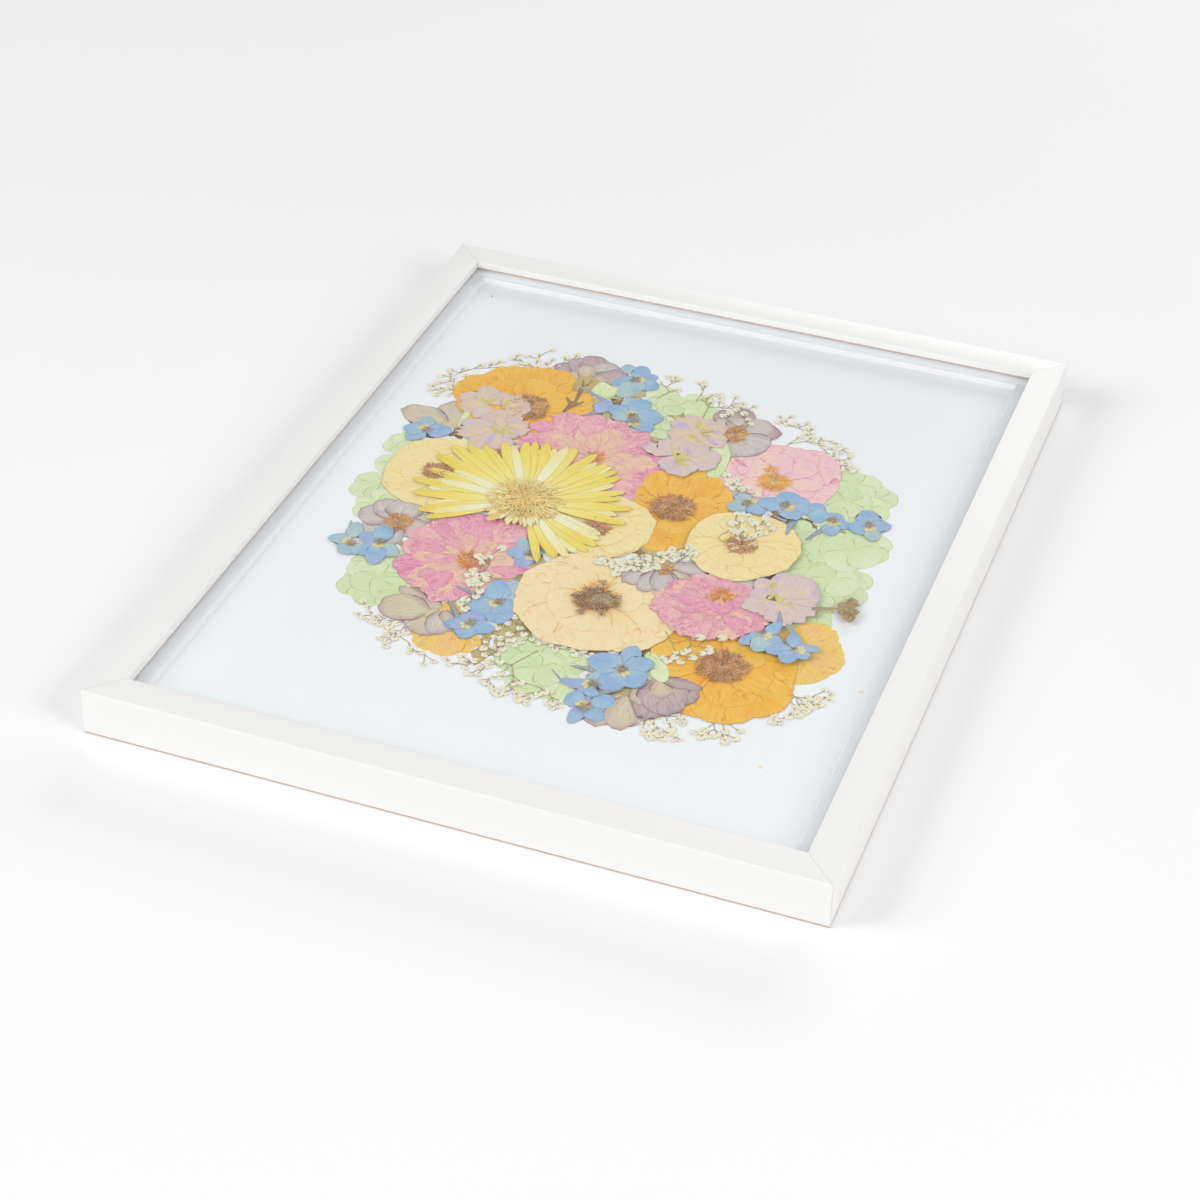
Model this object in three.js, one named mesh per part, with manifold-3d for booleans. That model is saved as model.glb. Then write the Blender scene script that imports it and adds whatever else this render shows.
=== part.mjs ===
// A pressed flower frame: a white wooden photo frame holding, from the front, a pane of glass, a narrow
// bevel-cut window mat, the pressed flowers, a white mount board and a hardboard back kept in by flexible
// steel tabs, with a sawtooth hanger riveted to the back.
// Millimetres, +Z up. The frame lies on its back: the front faces +Z, and +Y is its upper end when it hangs.
// The origin is the centre of the footprint, on the surface that the frame rests on.
import * as THREE from "three";
import { mergeVertices } from "three/addons/utils/BufferGeometryUtils.js";
import Module from "manifold-3d";

// Moulding: outer size, and the section of a rail.
const WIDTH = 294.2;
const LENGTH = 370.4;
const HEIGHT = 20;
const FACE = 13.3;
const LIP_DEPTH = 3.8;
const RABBET = 6.5;
const EASED_EDGE = 0.5;
const MITRE_GAP = 0.12;

// Sheets held in the rabbet, from the lip down.
const SHEET_PLAY = 1.2;
const GLASS_THICK = 2;
const AIR_FILM = 0.05;
const MAT_THICK = 2.15;
const MAT_BAND = 5.3;
const MAT_BEVEL = 1;
const BOARD_THICK = 1.5;
const BACKING_THICK = 3;

// Flexible tabs: thin steel points driven into the rabbet wall over the back.
const TAB_THICK = 0.5;
const TAB_WIDTH = 9;
const TAB_REACH = 9;
const TAB_DEPTH = 3.6;
const TAB_CLEARANCE = 0.3;
const TABS_ON_LONG_RAIL = [-100, 100];

// Sawtooth hanger on the back.
const HANGER_LENGTH = 46;
const HANGER_WIDTH = 9;
const HANGER_THICK = 0.8;
const HANGER_STANDOFF = 2.2;
const HANGER_FOOT = 9;
const HANGER_RAMP = 4;
const HANGER_FROM_TOP = 40;
const TOOTH_PITCH = 3;
const TOOTH_DEEP = 1.5;
const NOTCH_WIDE = 4;
const NOTCH_DEEP = 2.4;
const RIVET_RADIUS = 2.2;
const RIVET_HIGH = 1;

// Pressed flowers: flat solids laid one on another on the board. Their outlines were measured as they show at
// the level of the board from EYE, a point in front of the frame, through glass that lifts them by GLASS_LIFT.
const PETAL_THICK = 0.16;
const PETAL_GAP = 0.05;
const EYE = new THREE.Vector3(304, -866, 641);
const GLASS_LIFT = 0.6;

const RABBET_WALL = FACE - RABBET;
const GLASS_TOP = HEIGHT - LIP_DEPTH;
const MAT_TOP = GLASS_TOP - GLASS_THICK - AIR_FILM;
const BOARD_TOP = MAT_TOP - MAT_THICK;
const BACKING_TOP = BOARD_TOP - BOARD_THICK;
const BACK_RECESS = BACKING_TOP - BACKING_THICK;
const SHEET_WIDTH = WIDTH - 2 * RABBET_WALL - SHEET_PLAY;
const SHEET_LENGTH = LENGTH - 2 * RABBET_WALL - SHEET_PLAY;

const wasm = await Module();
wasm.setup();

const finishes = {
  white_lacquer: new THREE.MeshStandardMaterial({ color: 0xf3f1ec, roughness: 0.38 }),
  glass: new THREE.MeshStandardMaterial({
    color: 0xf4fafa,
    roughness: 0.05,
    transparent: true,
    opacity: 0.15,
  }),
  mat_board: new THREE.MeshStandardMaterial({ color: 0xe8eefa, roughness: 0.85 }),
  mount_board: new THREE.MeshStandardMaterial({ color: 0xebeeef, roughness: 0.9 }),
  hardboard: new THREE.MeshStandardMaterial({ color: 0x8a6a49, roughness: 0.8 }),
  steel: new THREE.MeshStandardMaterial({ color: 0xa9adb0, roughness: 0.35, metalness: 1 }),
  petal_yellow: new THREE.MeshStandardMaterial({ color: 0xeede6e, roughness: 0.8 }),
  petal_orange: new THREE.MeshStandardMaterial({ color: 0xeeb450, roughness: 0.8 }),
  petal_cream: new THREE.MeshStandardMaterial({ color: 0xf0deaf, roughness: 0.8 }),
  petal_pink: new THREE.MeshStandardMaterial({ color: 0xe49cb8, roughness: 0.8 }),
  petal_mauve: new THREE.MeshStandardMaterial({ color: 0xbeb0b4, roughness: 0.8 }),
  petal_lilac: new THREE.MeshStandardMaterial({ color: 0xcdbed2, roughness: 0.8 }),
  petal_blue: new THREE.MeshStandardMaterial({ color: 0x86aadc, roughness: 0.8 }),
  petal_green: new THREE.MeshStandardMaterial({ color: 0xcde0b4, roughness: 0.8 }),
  dried_brown: new THREE.MeshStandardMaterial({ color: 0x8a6f55, roughness: 0.9 }),
};

const frame = new THREE.Group();

function add(name, geometry, finish) {
  const mesh = new THREE.Mesh(geometry, finishes[finish]);
  mesh.name = name;
  frame.add(mesh);
  return mesh;
}

function solid(geometry) {
  const bare = geometry.index ? geometry.toNonIndexed() : geometry.clone();
  bare.deleteAttribute("normal");
  bare.deleteAttribute("uv");
  const merged = mergeVertices(bare, 1e-4);
  return new wasm.Manifold(
    new wasm.Mesh({
      numProp: 3,
      vertProperties: merged.attributes.position.array,
      triVerts: new Uint32Array(merged.index.array),
    }),
  );
}

function geometryOf(made) {
  const mesh = made.getMesh();
  return new THREE.BufferGeometry()
    .setAttribute("position", new THREE.BufferAttribute(mesh.vertProperties, 3))
    .setIndex(new THREE.BufferAttribute(mesh.triVerts, 1));
}

function block(sizeX, sizeY, low, high) {
  return new THREE.BoxGeometry(sizeX, sizeY, high - low).translate(0, 0, (low + high) / 2);
}

function plate(points, low, high) {
  return new THREE.ExtrudeGeometry(new THREE.Shape(points), {
    depth: high - low,
    bevelEnabled: false,
  }).translate(0, 0, low);
}

// A closed body between two like rings of points, with flat ends.
function loft(ringA, ringB, outline) {
  const count = ringA.length;
  const corners = [...ringA, ...ringB].flatMap((p) => p.toArray());
  const faces = [];
  for (const [a, b, c] of THREE.ShapeUtils.triangulateShape(outline, [])) {
    faces.push(a, c, b, count + a, count + b, count + c);
  }
  for (let i = 0; i < count; i++) {
    const next = (i + 1) % count;
    faces.push(i, next, count + next, i, count + next, count + i);
  }
  return new THREE.BufferGeometry()
    .setAttribute("position", new THREE.Float32BufferAttribute(corners, 3))
    .setIndex(faces);
}

// Moulding. The section runs from the outer face (0) inwards, with the rabbet under the lip.
const section = [
  [EASED_EDGE, 0],
  [RABBET_WALL, 0],
  [RABBET_WALL, GLASS_TOP],
  [FACE, GLASS_TOP],
  [FACE, HEIGHT - EASED_EDGE],
  [FACE - EASED_EDGE, HEIGHT],
  [EASED_EDGE, HEIGHT],
  [0, HEIGHT - EASED_EDGE],
  [0, EASED_EDGE],
].map(([inwards, z]) => new THREE.Vector2(inwards, z));

// One rail with its outer face on the plane y = 0 and its inside towards +Y, mitred at both ends.
function rail(span) {
  const end = (side) =>
    section.map((p) => {
      const half = span / 2 - p.x - MITRE_GAP;
      return new THREE.Vector3(side * half, p.x, p.y);
    });
  return loft(end(-1), end(1), section);
}

// A slot for each tab, cut in the inner wall a little larger than the steel.
function slotted(geometry, places) {
  let made = solid(geometry);
  for (const along of places) {
    const slot = block(
      TAB_WIDTH + 2 * TAB_CLEARANCE,
      TAB_DEPTH + 2 * TAB_CLEARANCE,
      BACK_RECESS - TAB_THICK - TAB_CLEARANCE,
      BACK_RECESS + TAB_CLEARANCE,
    );
    slot.translate(along, RABBET_WALL - TAB_DEPTH / 2, 0);
    made = made.subtract(solid(slot));
  }
  return geometryOf(made);
}

const rails = [
  { name: "rail_bottom", span: WIDTH, out: LENGTH / 2, turn: 0, tabs: [0] },
  { name: "rail_right", span: LENGTH, out: WIDTH / 2, turn: 1, tabs: TABS_ON_LONG_RAIL },
  { name: "rail_top", span: WIDTH, out: LENGTH / 2, turn: 2, tabs: [0] },
  { name: "rail_left", span: LENGTH, out: WIDTH / 2, turn: 3, tabs: TABS_ON_LONG_RAIL },
];

let tabNumber = 1;
for (const { name, span, out, turn, tabs } of rails) {
  const side = new THREE.Matrix4()
    .makeRotationZ((turn * Math.PI) / 2)
    .multiply(new THREE.Matrix4().makeTranslation(0, -out, 0));
  add(name, slotted(rail(span), tabs).applyMatrix4(side), "white_lacquer");
  for (const along of tabs) {
    const tab = block(TAB_WIDTH, TAB_DEPTH + TAB_REACH, BACK_RECESS - TAB_THICK, BACK_RECESS);
    tab.translate(along, RABBET_WALL + (TAB_REACH - TAB_DEPTH) / 2, 0);
    add(`tab_${tabNumber}`, tab.applyMatrix4(side), "steel");
    tabNumber += 1;
  }
}

// Sheets: glass, window mat with a bevelled cut, mount board, hardboard back.
add("glass", block(SHEET_WIDTH, SHEET_LENGTH, MAT_TOP, GLASS_TOP), "glass");

const cutHalfX = WIDTH / 2 - FACE - MAT_BAND;
const cutHalfY = LENGTH / 2 - FACE - MAT_BAND;
const PAST = 1;

// The cut widens upwards, so its sides show from the front.
function windowCut() {
  const corners = (z) => {
    const spread = (MAT_BEVEL * (z - BOARD_TOP)) / MAT_THICK;
    const x = cutHalfX - MAT_BEVEL + spread;
    const y = cutHalfY - MAT_BEVEL + spread;
    const signs = [
      [-1, -1],
      [1, -1],
      [1, 1],
      [-1, 1],
    ];
    return signs.map(([sx, sy]) => new THREE.Vector3(sx * x, sy * y, z));
  };
  const low = corners(BOARD_TOP - PAST);
  const flat = low.map((p) => new THREE.Vector2(p.x, p.y));
  return loft(low, corners(MAT_TOP + PAST), flat);
}

const matSheet = solid(block(SHEET_WIDTH, SHEET_LENGTH, BOARD_TOP, MAT_TOP));
add("window_mat", geometryOf(matSheet.subtract(solid(windowCut()))), "mat_board");
add("mount_board", block(SHEET_WIDTH, SHEET_LENGTH, BACKING_TOP, BOARD_TOP), "mount_board");
add("back_board", block(SHEET_WIDTH, SHEET_LENGTH, BACK_RECESS, BACKING_TOP), "hardboard");

// Sawtooth hanger: a steel strip, bent away from the back between its two riveted feet.
const hangerY = LENGTH / 2 - HANGER_FROM_TOP;

function hangerStrip() {
  const half = HANGER_LENGTH / 2;
  const bend = half - HANGER_FOOT;
  const flat = bend - HANGER_RAMP;
  const line = [
    [-half, 0],
    [-bend, 0],
    [-flat, -HANGER_STANDOFF],
    [flat, -HANGER_STANDOFF],
    [bend, 0],
    [half, 0],
  ];
  const near = line.map(([x, z]) => new THREE.Vector2(x, z));
  const far = line.map(([x, z]) => new THREE.Vector2(x, z - HANGER_THICK)).reverse();
  const strip = plate([...near, ...far], -HANGER_WIDTH / 2, HANGER_WIDTH / 2);
  return strip.rotateX(Math.PI / 2);
}

// Teeth point down the frame, on each side of a wider square notch that the nail settles in.
function hangerCuts() {
  const edge = -HANGER_WIDTH / 2;
  const below = -2 * HANGER_STANDOFF;
  const notch = block(NOTCH_WIDE, 2 * NOTCH_DEEP, below, PAST).translate(0, edge, 0);
  const cuts = [notch];
  const first = NOTCH_WIDE / 2 + TOOTH_PITCH;
  const last = HANGER_LENGTH / 2 - HANGER_FOOT - HANGER_RAMP;
  for (let x = first; x < last; x += TOOTH_PITCH) {
    for (const side of [-1, 1]) {
      const tooth = [
        new THREE.Vector2(side * x - TOOTH_PITCH / 2, edge - PAST),
        new THREE.Vector2(side * x + TOOTH_PITCH / 2, edge - PAST),
        new THREE.Vector2(side * x, edge + TOOTH_DEEP),
      ];
      cuts.push(plate(tooth, below, PAST));
    }
  }
  return cuts;
}

let hanger = solid(hangerStrip());
for (const cut of hangerCuts()) {
  hanger = hanger.subtract(solid(cut));
}
add("hanger", geometryOf(hanger).translate(0, hangerY, BACK_RECESS), "steel");

for (const [name, side] of [
  ["rivet_left", -1],
  ["rivet_right", 1],
]) {
  const profile = [
    [0, -RIVET_HIGH],
    [RIVET_RADIUS * 0.6, -RIVET_HIGH * 0.8],
    [RIVET_RADIUS, -RIVET_HIGH * 0.3],
    [RIVET_RADIUS, 0],
    [0, 0],
  ].map(([r, h]) => new THREE.Vector2(r, h));
  const head = new THREE.LatheGeometry(profile, 16).rotateX(Math.PI / 2);
  const x = side * (HANGER_LENGTH - HANGER_FOOT) * 0.5;
  add(name, geometryOf(solid(head)).translate(x, hangerY, BACK_RECESS - HANGER_THICK), "steel");
}

// Flowers. Each is laid on the highest of those already beneath it, so the list runs from the board up.
const laid = [];

// One flower at a level of the pile, moved from where its outlines show to where it lies.
function flowerAt(outlines, level) {
  const height = level * (PETAL_THICK + PETAL_GAP) + PETAL_THICK + GLASS_LIFT;
  const eye = new THREE.Vector2(EYE.x, EYE.y);
  const petals = outlines.map((outline) => {
    const moved = outline.map((point) => point.clone().lerp(eye, height / EYE.z));
    return solid(plate(moved, 0, PETAL_THICK));
  });
  return petals.reduce((flower, petal) => flower.add(petal));
}

function layFlower(name, outlines, finish) {
  let level = 0;
  let flower = flowerAt(outlines, level);
  const meets = (under) => under.level >= level && under.flower.intersect(flower).volume() > 0;
  for (let blocked = laid.filter(meets); blocked.length > 0; blocked = laid.filter(meets)) {
    level = Math.max(...blocked.map((under) => under.level)) + 1;
    flower = flowerAt(outlines, level);
  }
  laid.push({ flower, level });
  const z = BOARD_TOP + level * (PETAL_THICK + PETAL_GAP);
  add(name, geometryOf(flower).translate(0, 0, z), finish);
}

// The outline of an open bloom seen from above: an ellipse, notched between its petals.
function bloom(x, y, radiusX, radiusY, petals, notch, turn = 0) {
  const steps = Math.max(20, petals * 4);
  const points = [];
  for (let i = 0; i < steps; i++) {
    const angle = (i / steps) * 2 * Math.PI;
    const start = THREE.MathUtils.degToRad(turn);
    const fall = 0.5 - 0.5 * Math.cos(petals * (angle - start));
    const reach = 1 - notch * fall;
    points.push(
      new THREE.Vector2(x + radiusX * reach * Math.cos(angle), y + radiusY * reach * Math.sin(angle)),
    );
  }
  return points;
}

// The outline of one blunt petal or stem from its base to its tip.
function blade(fromX, fromY, toX, toY, width) {
  const base = new THREE.Vector2(fromX, fromY);
  const along = new THREE.Vector2(toX, toY).sub(base);
  const across = new THREE.Vector2(-along.y, along.x).setLength(width / 2);
  const shape = [
    [0, -0.4],
    [0.5, -1],
    [0.9, -0.8],
    [1, 0],
    [0.9, 0.8],
    [0.5, 1],
    [0, 0.4],
  ];
  return shape.map(([u, v]) => base.clone().addScaledVector(along, u).addScaledVector(across, v));
}

// The outline of the open daisy head: blunt rays, each [direction in degrees, reach], round a disc.
function daisy(x, y, discRadius, rays) {
  const halfTip = 2.6;
  const points = [];
  const at = (degrees, reach) => {
    const angle = THREE.MathUtils.degToRad(degrees);
    points.push(new THREE.Vector2(x + reach * Math.cos(angle), y + reach * Math.sin(angle)));
  };
  rays.forEach(([degrees, reach], i) => {
    const [next, nextReach] = rays[(i + 1) % rays.length];
    const step = (next - degrees + 360) % 360;
    const gap = step > 40;
    at(degrees - halfTip, reach);
    at(degrees + halfTip, reach);
    if (gap) {
      at(degrees + 8, discRadius);
      at(degrees + step / 2, discRadius);
      at(next - 8, discRadius);
    } else {
      at(degrees + step / 2, Math.min(reach, nextReach) * 0.72);
    }
  });
  return points;
}

layFlower(
  "hydrangea_left",
  [bloom(-104, -13, 13, 14, 4, 0.12, 45), bloom(-108, 14, 6, 19, 3, 0.1)],
  "petal_green",
);
layFlower("hydrangea_lower_left", [bloom(-80, -69, 16, 15, 4, 0.1, 30)], "petal_green");
layFlower(
  "hydrangea_lower",
  [bloom(0, -99, 13, 12, 4, 0.12, 20), bloom(13, -106, 12, 11, 4, 0.12, 60)],
  "petal_green",
);
layFlower("hydrangea_upper_right", [bloom(86, 55, 15, 17, 4, 0.1, 40)], "petal_green");
layFlower(
  "hydrangea_right",
  [
    bloom(93, 18, 13, 15, 4, 0.1, 30),
    bloom(92, -9, 16, 16, 5, 0.1),
    bloom(81, 8, 9, 14, 4, 0.1),
    bloom(92, -31, 8, 9, 4, 0.1),
  ],
  "petal_green",
);

layFlower("rose_mauve_1", [bloom(-53, 112, 17, 11, 3, 0.12)], "petal_mauve");
layFlower("rose_mauve_2", [bloom(-105, 54, 14, 12, 3, 0.15)], "petal_mauve");
layFlower("rose_mauve_3", [bloom(-90, -30, 16, 19, 5, 0.12)], "petal_mauve");
layFlower("ranunculus_orange_1", [bloom(-71, 74, 33, 31, 6, 0.05)], "petal_orange");
layFlower("ranunculus_orange_2", [bloom(95, -53, 17, 20, 3, 0.06)], "petal_orange");
layFlower("ranunculus_orange_3", [bloom(69, -78, 30, 29, 6, 0.05)], "petal_orange");
layFlower("ranunculus_orange_4", [bloom(-41, -86, 19, 20, 5, 0.06)], "petal_orange");
layFlower("rose_mauve_4", [bloom(-54, -86, 16, 10, 4, 0.12)], "petal_mauve");
layFlower("rose_mauve_5", [bloom(40, -114, 14, 11, 4, 0.1)], "petal_mauve");
layFlower("rose_mauve_6", [bloom(56, -101, 12, 15, 5, 0.1)], "petal_mauve");
layFlower("rose_pink_1", [bloom(-30, 47, 33, 30, 7, 0.08)], "petal_pink");
layFlower("rose_pink_2", [bloom(-51, -44, 29, 29, 7, 0.06)], "petal_pink");
layFlower("rose_pink_3", [bloom(52, 64, 25, 22, 7, 0.1)], "petal_pink");
layFlower("ranunculus_orange_5", [bloom(21, 22, 21, 29, 5, 0.05)], "petal_orange");
layFlower("rose_mauve_7", [bloom(26, 87, 16, 20, 5, 0.2, 100)], "petal_mauve");

layFlower(
  "delphinium_1",
  [bloom(-27, -64, 10, 12, 5, 0.3, 90), bloom(-32, -84, 9, 12, 5, 0.3, 90)],
  "petal_blue",
);
layFlower("ranunculus_cream_1", [bloom(-80, 12, 27, 27, 5, 0.03)], "petal_cream");
layFlower("ranunculus_cream_2", [bloom(10, -51, 35, 32, 5, 0.03)], "petal_cream");
layFlower("ranunculus_cream_3", [bloom(-7, 0, 22, 21, 5, 0.03)], "petal_cream");
layFlower("rose_mauve_8", [bloom(29, -26, 18, 12, 4, 0.1)], "petal_mauve");
layFlower("rose_pink_4", [bloom(54, -37, 26, 22, 9, 0.1)], "petal_pink");
layFlower("ranunculus_cream_4", [bloom(53, 5, 23, 25, 5, 0.03)], "petal_cream");

layFlower("viola_1", [bloom(-84, 71, 16, 13, 5, 0.15)], "petal_lilac");
layFlower("viola_2", [bloom(-75, 49, 15, 16, 5, 0.15)], "petal_lilac");
layFlower("viola_3", [bloom(7, 82, 14, 13, 5, 0.15)], "petal_lilac");
layFlower("viola_4", [bloom(5, 59, 18, 13, 5, 0.15)], "petal_lilac");
layFlower(
  "viola_5",
  [bloom(71, -25, 8, 13, 3, 0.1), bloom(82, -21, 11, 18, 5, 0.1, 90)],
  "petal_lilac",
);

layFlower("delphinium_2", [bloom(-103, 39, 11, 10, 5, 0.3, 90)], "petal_blue");
layFlower(
  "delphinium_3",
  [bloom(-31, 113, 10, 10, 5, 0.3), blade(-33, 114, -41, 127, 7)],
  "petal_blue",
);
layFlower(
  "delphinium_4",
  [bloom(-25, 84, 14, 13, 5, 0.3, 60), blade(-30, 86, -53, 97, 3), blade(-30, 83, -45, 75, 3)],
  "petal_blue",
);
layFlower(
  "delphinium_5",
  [bloom(-99, -50, 10, 9, 5, 0.3, 20), bloom(-87, -46, 10, 12, 5, 0.3, 60)],
  "petal_blue",
);
layFlower(
  "delphinium_6",
  [
    bloom(46, 37, 9, 8, 5, 0.25),
    bloom(60, 41, 11, 10, 5, 0.3, 45),
    bloom(74, 40, 8, 9, 4, 0.2),
    bloom(84, 36, 8, 9, 5, 0.25),
  ],
  "petal_blue",
);
layFlower("delphinium_7", [bloom(97, 40, 9, 10, 5, 0.3, 20)], "petal_blue");
layFlower(
  "delphinium_8",
  [bloom(34, -88, 13, 13, 5, 0.25, 90), blade(28, -92, 15, -93, 3)],
  "petal_blue",
);
layFlower("delphinium_9", [bloom(27, -112, 12, 14, 5, 0.3, 270)], "petal_blue");
layFlower(
  "delphinium_10",
  [
    bloom(78, -50, 8, 8, 5, 0.3, 90),
    bloom(91, -53, 9, 9, 5, 0.3, 270),
    blade(79, -48, 80, -31, 4),
    blade(91, -50, 86, -38, 4),
  ],
  "petal_blue",
);
layFlower("brown_bud", [bloom(105, -20, 5, 6, 3, 0.2), blade(104, -20, 92, -22, 3)], "dried_brown");
layFlower(
  "gerbera",
  [
    daisy(-43, 4, 17, [
      [0, 46],
      [16, 46],
      [26, 44],
      [34, 43],
      [44, 45],
      [56, 46],
      [63, 45],
      [71, 46],
      [84, 44],
      [97, 45],
      [105, 46],
      [113, 46],
      [123, 46],
      [131, 45],
      [140, 50],
      [148, 52],
      [156, 51],
      [172, 48],
      [182, 49],
      [195, 47],
      [210, 45],
      [218, 46],
      [298, 44],
      [309, 43],
      [317, 44],
      [326, 45],
      [333, 43],
      [346, 44],
    ]),
  ],
  "petal_yellow",
);

export default frame;
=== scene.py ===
import math
import random

import bmesh
import bpy
import numpy as np
from mathutils import Matrix, Vector


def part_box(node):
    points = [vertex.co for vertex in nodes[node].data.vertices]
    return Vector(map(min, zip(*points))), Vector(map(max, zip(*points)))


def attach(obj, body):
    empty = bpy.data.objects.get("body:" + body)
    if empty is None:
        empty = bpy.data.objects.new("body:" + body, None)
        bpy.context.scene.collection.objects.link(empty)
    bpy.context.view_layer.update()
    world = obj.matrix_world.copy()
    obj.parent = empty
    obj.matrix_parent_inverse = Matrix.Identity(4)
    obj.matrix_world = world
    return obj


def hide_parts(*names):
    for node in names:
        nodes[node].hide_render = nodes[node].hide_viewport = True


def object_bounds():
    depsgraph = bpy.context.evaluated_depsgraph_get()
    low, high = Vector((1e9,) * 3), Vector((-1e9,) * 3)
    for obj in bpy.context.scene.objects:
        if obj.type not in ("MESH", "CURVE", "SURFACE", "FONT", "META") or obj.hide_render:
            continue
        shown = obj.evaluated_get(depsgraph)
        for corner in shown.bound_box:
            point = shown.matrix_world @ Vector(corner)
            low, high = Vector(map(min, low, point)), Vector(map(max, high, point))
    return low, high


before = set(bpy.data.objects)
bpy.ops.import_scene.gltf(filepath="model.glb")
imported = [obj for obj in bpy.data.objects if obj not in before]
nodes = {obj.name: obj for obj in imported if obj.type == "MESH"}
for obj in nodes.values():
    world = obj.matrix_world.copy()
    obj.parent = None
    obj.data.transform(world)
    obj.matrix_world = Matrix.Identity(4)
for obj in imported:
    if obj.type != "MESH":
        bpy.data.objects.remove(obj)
cad_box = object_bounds()
MM = 0.001


# Camera: stands in front and a little to the right, looking down on the frame.
# Its angles are taken round the frame from the front, its distance in metres.
def new_object(name, data):
    """An object in the scene that holds this data."""
    made = bpy.data.objects.new(name, data)
    bpy.context.scene.collection.objects.link(made)
    return made


AZIMUTH = math.radians(19.76)
ELEVATION = math.radians(36.44)
ROLL = math.radians(1.1375)
DISTANCE = 1.0993
LOOKS_AT = Vector((5.09, -34.01, 0)) * MM

flat = math.cos(ELEVATION)
back = Vector((math.sin(AZIMUTH) * flat, -math.cos(AZIMUTH) * flat, math.sin(ELEVATION)))
level_right = (-back).cross(Vector((0, 0, 1))).normalized()
level_up = back.cross(level_right)
right = level_right * math.cos(ROLL) + level_up * math.sin(ROLL)
up = level_up * math.cos(ROLL) - level_right * math.sin(ROLL)

camera_data = bpy.data.cameras.new("camera")
camera_data.lens = 81.2
camera_data.sensor_width = 36
camera_data.clip_start = 0.05
camera_data.clip_end = 50
camera = new_object("camera", camera_data)
turn = Matrix((right, up, back)).transposed().to_4x4()
camera.matrix_world = Matrix.Translation(LOOKS_AT + back * DISTANCE) @ turn
bpy.context.scene.camera = camera
bpy.context.scene.view_settings.view_transform = "Standard"


# Studio: a wide white floor, a pale sky all round, three large soft lamps round
# the frame and one that lights the floor behind it.
def tone(red, green, blue):
    """A colour as seen, 0 to 255, as the linear colour that Blender works in."""
    parts = [c / 255 for c in (red, green, blue)]
    linear = [c / 12.92 if c <= 0.04045 else ((c + 0.055) / 1.055) ** 2.4 for c in parts]
    return (*linear, 1.0)


def feed(tree, socket, value):
    """Joins a socket to another one, or sets its value."""
    if isinstance(value, bpy.types.NodeSocket):
        tree.links.new(value, socket)
    else:
        socket.default_value = value


def add_node(tree, kind, settings=None, **inputs):
    """Adds one node, sets its options, and sets or joins its inputs by their names."""
    node = tree.nodes.new(kind)
    for key, value in (settings or {}).items():
        setattr(node, key, value)
    for key, value in inputs.items():
        feed(tree, node.inputs[key.replace("_", " ")], value)
    return node


def calculate(tree, operation, *values):
    """One Math node on numbers or sockets."""
    node = add_node(tree, "ShaderNodeMath", {"operation": operation})
    for socket, value in zip(node.inputs, values):
        feed(tree, socket, value)
    return node.outputs[0]


def fade(tree, value, start, end, low=0.0, high=1.0):
    """Goes smoothly from low to high while value goes from start to end."""
    ends = {"From_Min": start, "From_Max": end, "To_Min": low, "To_Max": high}
    smooth = {"interpolation_type": "SMOOTHSTEP"}
    return add_node(tree, "ShaderNodeMapRange", smooth, Value=value, **ends).outputs["Result"]


def mixed_colour(tree, share, first, second):
    """Mixes second over first by share."""
    node = add_node(tree, "ShaderNodeMix", {"data_type": "RGBA"})
    for index, value in ((0, share), (6, first), (7, second)):
        feed(tree, node.inputs[index], value)
    return node.outputs[2]


def noise(tree, scale, detail=2.0, **more):
    """Soft noise that is fixed to the piece."""
    place = add_node(tree, "ShaderNodeTexCoord").outputs["Object"]
    made = add_node(tree, "ShaderNodeTexNoise", Vector=place, Scale=scale, Detail=detail, **more)
    return made.outputs["Fac"]


def new_material(name):
    """A material with its node tree and its Principled BSDF."""
    made = bpy.data.materials.new(name)
    made.use_nodes = True
    return made, made.node_tree, made.node_tree.nodes["Principled BSDF"]


def dress(tree, surface, colour, roughness, height=None, strength=0.1, depth=0.0001):
    """Gives a surface its colour and roughness and, from a height, a fine relief."""
    feed(tree, surface.inputs["Base Color"], colour)
    feed(tree, surface.inputs["Roughness"], roughness)
    if height is not None:
        relief = add_node(tree, "ShaderNodeBump", Strength=strength, Distance=depth, Height=height)
        tree.links.new(relief.outputs["Normal"], surface.inputs["Normal"])


floor_finish, tree, surface = new_material("floor_white")
dress(tree, surface, mixed_colour(tree, noise(tree, 3.0), tone(248, 248, 248), tone(250, 250, 251)), 0.7)

HALF = 6.0
UNDER = -0.0002
floor_mesh = bpy.data.meshes.new("floor")
corners = [(-HALF, -HALF, UNDER), (HALF, -HALF, UNDER), (HALF, HALF, UNDER), (-HALF, HALF, UNDER)]
floor_mesh.from_pydata(corners, [], [(0, 1, 2, 3)])
floor_mesh.materials.append(floor_finish)
new_object("floor", floor_mesh)

world = bpy.data.worlds.new("studio")
world.use_nodes = True
sky = world.node_tree.nodes["Background"].inputs
sky["Color"].default_value = tone(253, 254, 255)
sky["Strength"].default_value = 0.33
bpy.context.scene.world = world


def add_lamp(name, place, power, size, aim=(0, 0, 0)):
    """A square softbox that faces the frame, or another point."""
    data = bpy.data.lights.new(name, "AREA")
    data.energy = power
    data.size = size
    lamp = new_object(name, data)
    lamp.location = place
    lamp.rotation_euler = (Vector(aim) - Vector(place)).to_track_quat("-Z", "Y").to_euler()


add_lamp("softbox_right", (1.55, -0.6, 1.05), 15, 1.0)
add_lamp("softbox_left", (-1.5, -1.0, 1.3), 23.5, 1.2)
add_lamp("softbox_front", (0.3, -1.9, 1.3), 8.5, 1.4)
add_lamp("softbox_backdrop", (0.3, 3.8, 1.3), 138, 2.6, aim=(0.3, 3.8, 0))


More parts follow.
